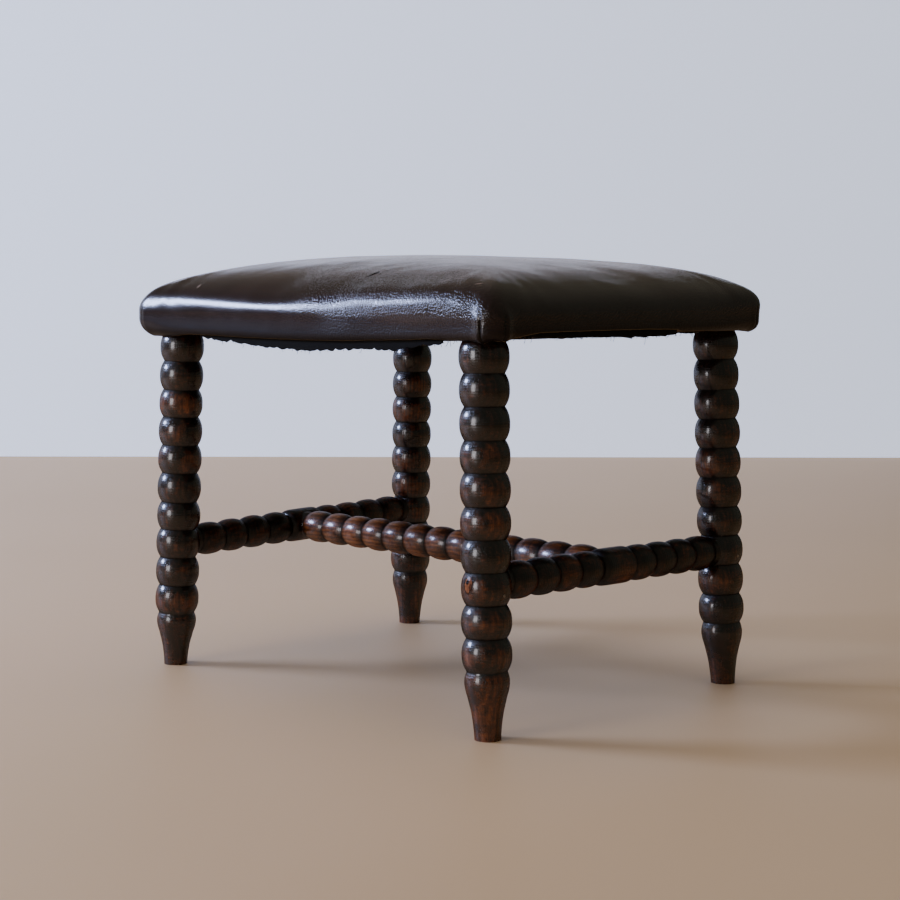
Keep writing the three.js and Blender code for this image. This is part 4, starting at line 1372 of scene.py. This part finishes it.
def make_cloth():
    bm = bmesh.new()
    bmesh.ops.create_grid(bm, x_segments=2 * CLOTH_LINES[0], y_segments=2 * CLOTH_LINES[1], size=1.0)
    flat_layer = bm.verts.layers.float_vector.new("flat_place")
    for vert in bm.verts:
        hung, cut = cloth_place(round(vert.co.x * CLOTH_LINES[0]), round(vert.co.y * CLOTH_LINES[1]))
        vert.co = cut
        vert[flat_layer] = hung
    torn = [face for face in bm.faces if torn_away(face.calc_center_median())]
    bmesh.ops.delete(bm, geom=torn, context="FACES")
    area = sum(face.calc_area() for face in bm.faces)
    spread = [np.ptp([vert.co[axis] for vert in bm.verts]) for axis in (0, 1)]
    for vert in bm.verts:
        hung, cut = vert[flat_layer].copy(), vert.co.copy()
        vert.co = hung
        vert[flat_layer] = cut * MM
    bmesh.ops.recalc_face_normals(bm, faces=bm.faces)
    return bm, area * MM * MM, [float(side) * MM for side in spread]


bm, cloth_area, cloth_spread = make_cloth()
edge_points = [vert.co.copy() for vert in bm.verts if vert.is_boundary]
bottom_cloth = finished(bm, "black_bottom_cloth", black_cotton, ["bottom_cloth"])
cloth_wall = bottom_cloth.modifiers.new("cloth_thickness", "SOLIDIFY")
cloth_wall.thickness, cloth_wall.offset = CLOTH_THICKNESS * MM, 0.0
print("cloth", [round(side, 4) for side in cloth_spread], "area", round(cloth_area, 4))

# %% [markdown]
# Loose threads hang from the torn edge. Each is one short spline of a single curve object, which
# gives them a round thickness and is then turned into a mesh like the rest.

# %% Loose threads
THREAD_RADIUS = 0.16
THREAD_PARTS = 4
THREADS, FOLD_THREADS = 260, 240
SHORT_ENDS, LONG_ENDS, FOLD_ENDS = (0.8, 2.6), (2.6, 5.5), (0.6, 2.1)
SHORT_SHARE = 0.85
LONG_ON_FOLD = ((-112, 4.2), (-64, 2.8), (-28, 3.4), (-24, 4.6), (11, 6.5))


def on_fold(x, y):
    return Vector((x, y, cloth_level(200, y) + 0.3))


draw = random.Random(5)
hanging = [point for point in edge_points if point.z < CLOTH_LEVEL + 3.5]
loose = [
    (point, draw.uniform(*(SHORT_ENDS if draw.random() < SHORT_SHARE else LONG_ENDS)))
    for point in draw.sample(hanging, THREADS)
]
# on the right the fold itself has frayed: short ends all along it, and a few long ones
for _ in range(FOLD_THREADS):
    y = draw.uniform(-136, 45)
    loose.append((on_fold(draw.uniform(199.5, 202.2), y), draw.uniform(*FOLD_ENDS)))
loose += [(on_fold(201.0, y), length) for y, length in LONG_ON_FOLD]
threads = bpy.data.curves.new("loose_threads", "CURVE")
threads.dimensions = "3D"
threads.bevel_depth = THREAD_RADIUS * MM
threads.bevel_resolution = 1
for point, length in loose:
    spline = threads.splines.new("POLY")
    spline.points.add(THREAD_PARTS)
    sway = Vector((draw.uniform(-1, 1), draw.uniform(-1, 1), 0))
    sway -= sway.project(Vector((point.x, point.y, 0))) * 0.3
    for step, knot in enumerate(spline.points):
        share = step / THREAD_PARTS
        down = Vector((0, 0, 0.4 - share * length))
        bend = sway * share * share * length * 0.5
        curl = 0.25 * Vector((math.sin(7 * share + length), math.cos(9 * share), 0)) * share
        knot.co = (*((point + down + bend + curl) * MM), 1.0)
thread_mesh = bpy.data.meshes.new_from_object(bpy.data.objects.new("thread_curves", threads))
thread_mesh.name = "loose_threads"
thread_mesh.materials.clear()
thread_mesh.materials.append(black_cotton)
loose_threads = bpy.data.objects.new("loose_threads", thread_mesh)
bpy.context.scene.collection.objects.link(loose_threads)
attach(loose_threads, "root")
print("threads:", len(thread_mesh.polygons), "faces")

# %% [markdown]
# Blued upholstery tacks hold the cloth, and others, buried under the hide, hold the webbing. The
# buried ones keep the frame's own solids and only get the steel.

# %% Steel
def blued_steel(name, base, roughness):
    # heat-blued steel wire: dark, dull, with brown rust starting in spots
    steel = new_material(name)
    place = add(steel, "TexCoord", out="Object")
    (spots,) = patterns(steel, place, spots=(EVEN, 1.6, 4, 0.7))
    rust = add(steel, "ValToRGB", (spots,), [(0.52, 0.0), (0.66, 1.0)])
    shader = add(steel, "BsdfPrincipled", {
        "Base Color": overlaid(steel, linear(base), (rust, 1.0, "#4a2e1f")), "Metallic": 0.9,
        "Roughness": add(steel, "Math", (rust, 0.4, roughness), operation="MULTIPLY_ADD"),
        "Normal": relief(steel, (spots, 0.05)),
    })
    add(steel, "OutputMaterial", (shader,))
    return steel


tack_steel = blued_steel("blued_tack_steel", "#4b4845", 0.42)
pin_steel = blued_steel("worn_nail_steel", "#8d8078", 0.38)
for number in range(1, 11):
    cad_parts[f"webbing_tack_{number}"].data.materials[0] = tack_steel
print("steel on the ten webbing tacks")

# %% [markdown]
# Each tack is spun as a leg is, on a small scale, turned head down, and set with its head against
# the cloth, or against the wood where the cloth is torn away. No two stand quite straight.

# %% Tacks under the seat
TACK_OUTLINE = [
    (0.0, -11.0), (0.45, -10.0), (0.85, -7.5), (0.9, -0.2), (1.1, 0.0), (3.5, 0.0),
    (3.62, 0.12), (3.5, 0.34), (2.7, 0.78), (1.5, 1.05), (0.0, 1.12),
]
TACK_INSET = 9.0
TACK_STEPS = 20
TACK_LEAN = 0.06
LONG_ROW, SHORT_ROW = (-120, -60, 0, 60, 120), (-75, 0, 75)


def spun_plain(outline, steps):
    """Spun without wear, grime or wobble."""
    outline = [(radius, along, 0.0, 0.0) for radius, along in outline]
    return spun(outline, steps, random.Random(1), (0, 0, 0), wobble=0.0)


tack_number = 0
for side in (LEFT, RIGHT):
    long_row = [(x, side * (COVER_HALF[1] - TACK_INSET)) for x in LONG_ROW]
    short_row = [(side * (COVER_HALF[0] - TACK_INSET), y) for y in SHORT_ROW]
    for x, y in long_row + short_row:
        tack_number += 1
        torn = torn_away(Vector((x, y, 0)))
        seat = FRAME_UNDER - 0.1 if torn else cloth_level(x, y) - 0.3
        bm = spun_plain(TACK_OUTLINE, TACK_STEPS)
        tilted = Matrix.Rotation(math.pi + draw.uniform(-TACK_LEAN, TACK_LEAN), 4, "X")
        bmesh.ops.transform(bm, matrix=Matrix.Translation((x, y, seat)) @ tilted, verts=bm.verts)
        finished(bm, f"blued_tack_{tack_number}", tack_steel, [f"bottom_tack_{tack_number}"])

# %% [markdown]
# Nails driven through the legs pin the stretchers' tenons. Their heads were filed off flush with
# the bead, which leaves a small pale dot on the outer face of each leg.

# %% Nails through the legs
PIN_HEIGHT = 103.5
PIN_OUTLINE = [(0.0, 0.0), (0.9, 0.35), (1.2, 1.2), (1.2, 26.2), (1.12, 26.75), (0.7, 27.0), (0.0, 27.05)]
PIN_TIP, PIN_LENGTH = 196.82, 27.0
PIN_STEPS = 18


def leg_axis(side_x, side_y, height):
    lean_share = 1 - height / SEAT_BOTTOM
    return [side * (LEG_SPACING[a] / 2 + SPLAY[a] * lean_share) for a, side in enumerate((side_x, side_y))]


for side_x in (LEFT, RIGHT):
    for side_y in (FRONT, BACK):
        bm = spun_plain(PIN_OUTLINE, PIN_STEPS)
        y = leg_axis(side_x, side_y, PIN_HEIGHT)[1]
        turn = Matrix.Rotation(side_x * math.pi / 2, 4, "Y")
        start = Matrix.Translation((side_x * (PIN_TIP - PIN_LENGTH), y, PIN_HEIGHT))
        bmesh.ops.transform(bm, matrix=start @ turn, verts=bm.verts)
        corner = f"{DEPTH_NAMES[side_y]}_{SIDE_NAMES[side_x]}"
        finished(bm, f"filed_nail_{corner}", pin_steel, [f"stretcher_pin_{corner}"])

# %% [markdown]
# The seat frame never shows from above. It is sawn softwood, four rails half-lapped at the
# corners, and the frame's own solids have the right shape, so they only get their finish, with
# the grain along each rail.

# %% Sawn softwood
GRAIN_DRAWN, SAW_DRAWN = 0.06, 0.15


def drawn_out(axis, share):
    """A squeeze of the coordinates that draws a pattern out along one axis."""
    return [share if index == axis else 1.0 for index in range(3)]


def sawn_softwood(name, along):
    # old sawn pine: matt, gone brown with age and dust, with narrow darker late wood
    pine = new_material(name)
    place = add(pine, "TexCoord", out="Object")
    laid = add(pine, "Mapping", {"Vector": place, "Scale": drawn_out(along, GRAIN_DRAWN)})
    growth = {"Vector": laid, "Scale": 55.0, "Distortion": 4.0, "Detail": 3.0, "Detail Scale": 0.8}
    rings = add(pine, "TexWave", growth, out="Fac", bands_direction="DIAGONAL")
    (marks,) = patterns(pine, place, marks=(drawn_out(1 - along, SAW_DRAWN), 1.4, 3, 0.5))
    tone = add(pine, "ValToRGB", (rings,), [(0.15, "#5a4330"), (0.7, "#6f563c"), (0.95, "#473120")])
    tone = overlaid(pine, tone, (marks, 0.5, "#4c3a2a"))
    look = {"Base Color": tone, "Roughness": 0.82, "Normal": relief(pine, (marks, 0.25))}
    add(pine, "OutputMaterial", (add(pine, "BsdfPrincipled", look),))
    return pine


for along, names in ((0, ("rail_front", "rail_back")), (1, ("rail_left", "rail_right"))):
    pine = sawn_softwood(f"sawn_softwood_{'long' if along == 0 else 'short'}", along)
    for name in names:
        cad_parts[name].data.materials[0] = pine
print("rails finished")

# %% [markdown]
# Over the frame go five strips of jute webbing, woven over and under each other, and a sheet of
# hessian. Both are made from grids that follow the frame's levels, with a little slack, and get a
# coarse weave. They are hidden by the cover, but the part is kept whole.

# %% Flat sheets
def flat_sheet(size, segments, place):
    """A grid of size (mm) with its flat place stored, and every point then moved by place(x, y)."""
    bm = bmesh.new()
    bmesh.ops.create_grid(bm, x_segments=segments[0], y_segments=segments[1], size=1.0)
    layer = bm.verts.layers.float_vector.new("flat_place")
    for vert in bm.verts:
        x, y = vert.co.x * size[0] / 2, vert.co.y * size[1] / 2
        vert[layer] = Vector((x, y, 0)) * MM
        vert.co = place(x, y)
    bmesh.ops.recalc_face_normals(bm, faces=bm.faces)
    return bm


def thick_sheet(bm, name, material, node, rests_on, thickness):
    piece = finished(bm, name, material, [node])
    wall = piece.modifiers.new("thickness", "SOLIDIFY")
    wall.thickness, wall.offset = thickness * MM, 0.0
    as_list(rests_on)


print("flat sheets ready")

# %% [markdown]
# The two long strips run over and under the three short ones, which stay level. The hessian lies
# on top of them all.

# %% Webbing and hessian
WEBBING_WIDTH = 50.0
WEBBING_LEVEL = 302.8
WEBBING_STEP = 1.5
LONG_Y = (-42.97, 42.97)
CROSS_X = (-89.95, 0.0, 89.95)
STRIP_HALF = {"long": 190.4, "cross": 139.4}
HESSIAN_HALF = (192.3, 141.3)
HESSIAN_LEVEL, HESSIAN_SLACK = 305.6, 0.12
STRIP_THICKNESS, HESSIAN_THICKNESS = 1.0, 0.6
jute = woven("woven_jute_webbing", ("#6b5636", "#a88f63"), 2.4, 0.9, 0.35, "#5a4a30", 0.4)
hessian_jute = woven("open_jute_hessian", ("#5d4626", "#937444"), 1.6, 0.95, 0.4, "#4a3a22", 0.4)


def strip_level(along, row):
    """A long strip goes over one crossing strip and under the next."""
    level = WEBBING_LEVEL
    for column, at in enumerate(CROSS_X):
        over = WEBBING_STEP if (row + column) % 2 == 0 else -WEBBING_STEP
        level += over * (1 - step_up(abs(along - at), 27, 36))
    return level


def hessian_place(x, y):
    return Vector((x, y, HESSIAN_LEVEL + HESSIAN_SLACK * ripple(x / 30, y / 30, 4)))


for row, (y_middle, where) in enumerate(zip(LONG_Y, ("front", "back"))):
    size = (2 * STRIP_HALF["long"], WEBBING_WIDTH)
    bm = flat_sheet(size, (150, 10), lambda x, y: Vector((x, y_middle + y, strip_level(x, row))))
    name, rails = f"long_{where}", ["rail_left", "rail_right"]
    thick_sheet(bm, f"jute_webbing_{name}", jute, f"webbing_{name}", rails, STRIP_THICKNESS)
for x_middle, where in zip(CROSS_X, ("left", "middle", "right")):
    size = (WEBBING_WIDTH, 2 * STRIP_HALF["cross"])
    bm = flat_sheet(size, (10, 110), lambda x, y: Vector((x_middle + x, y, WEBBING_LEVEL)))
    name, rails = f"cross_{where}", ["rail_front", "rail_back"]
    thick_sheet(bm, f"jute_webbing_{name}", jute, f"webbing_{name}", rails, STRIP_THICKNESS)
size = tuple(2 * half_side for half_side in HESSIAN_HALF)
bm = flat_sheet(size, (96, 72), hessian_place)
strips = ["jute_webbing_long_front", "jute_webbing_long_back"]
thick_sheet(
    bm, "hessian_over_webbing", hessian_jute, "hessian_sheet", strips, HESSIAN_THICKNESS,
)

# %% [markdown]
# The pad that gives the seat its crown is matted fibre, packed by hand. It has the cover's own
# form, drawn in by a little more than the hide's thickness, cut flat above the hessian and closed,
# with a lumpy surface.

# %% Fibre pad
PAD_INSET = 3.1
PAD_LEVEL = 306.6
PAD_LINES = 40
LUMP, LUMP_HEIGHT = 12, 0.5
CLUMP, STRAND = 7, 1.1


def fibre_wadding():
    # teased fibre, quite matt: clumps the size of a fingertip, with bent strands all over them
    fibre = new_material("matted_fibre_wadding")
    place = add(fibre, "TexCoord", out="Object")
    fluff = {"Vector": place, "Roughness": 0.7}
    clumps = add(fibre, "TexNoise", fluff | {"Scale": 1000 / CLUMP, "Detail": 6, "Distortion": 1.2})
    strands = add(fibre, "TexNoise", fluff | {"Scale": 1000 / STRAND, "Detail": 4, "Distortion": 3.0})
    tone = add(fibre, "Mix", (clumps, "#8f7f63", "#cdbf9f"), data_type="RGBA")
    look = {"Base Color": tone, "Roughness": 0.97, "Normal": relief(fibre, (clumps, 1.0), (strands, 0.5))}
    add(fibre, "OutputMaterial", (add(fibre, "BsdfPrincipled", look),))
    return fibre


def pad_shape(half_lines):
    bm = bmesh.new()
    bmesh.ops.create_grid(bm, x_segments=2 * half_lines, y_segments=2 * half_lines, size=1.0)
    step = HALF_LINES // half_lines
    for vert in bm.verts:
        i, j = round(vert.co.x * half_lines) * step, round(vert.co.y * half_lines) * step
        base, normal, _ = crown_place(i, j)
        lump = LUMP_HEIGHT * ripple(*(base / LUMP))
        vert.co = base - normal * (PAD_INSET + lump) + Vector((0, 0, tilt(*base)))
    bmesh.ops.bisect_plane(
        bm, geom=[*bm.verts, *bm.edges, *bm.faces], dist=0.0005,
        plane_co=(0, 0, PAD_LEVEL), plane_no=(0, 0, -1), clear_outer=True,
    )
    bmesh.ops.holes_fill(bm, edges=[edge for edge in bm.edges if edge.is_boundary], sides=0)
    bmesh.ops.recalc_face_normals(bm, faces=bm.faces)
    return bm


pad = finished(pad_shape(PAD_LINES), "fibre_stuffing_pad", fibre_wadding(), ["stuffing_pad"])
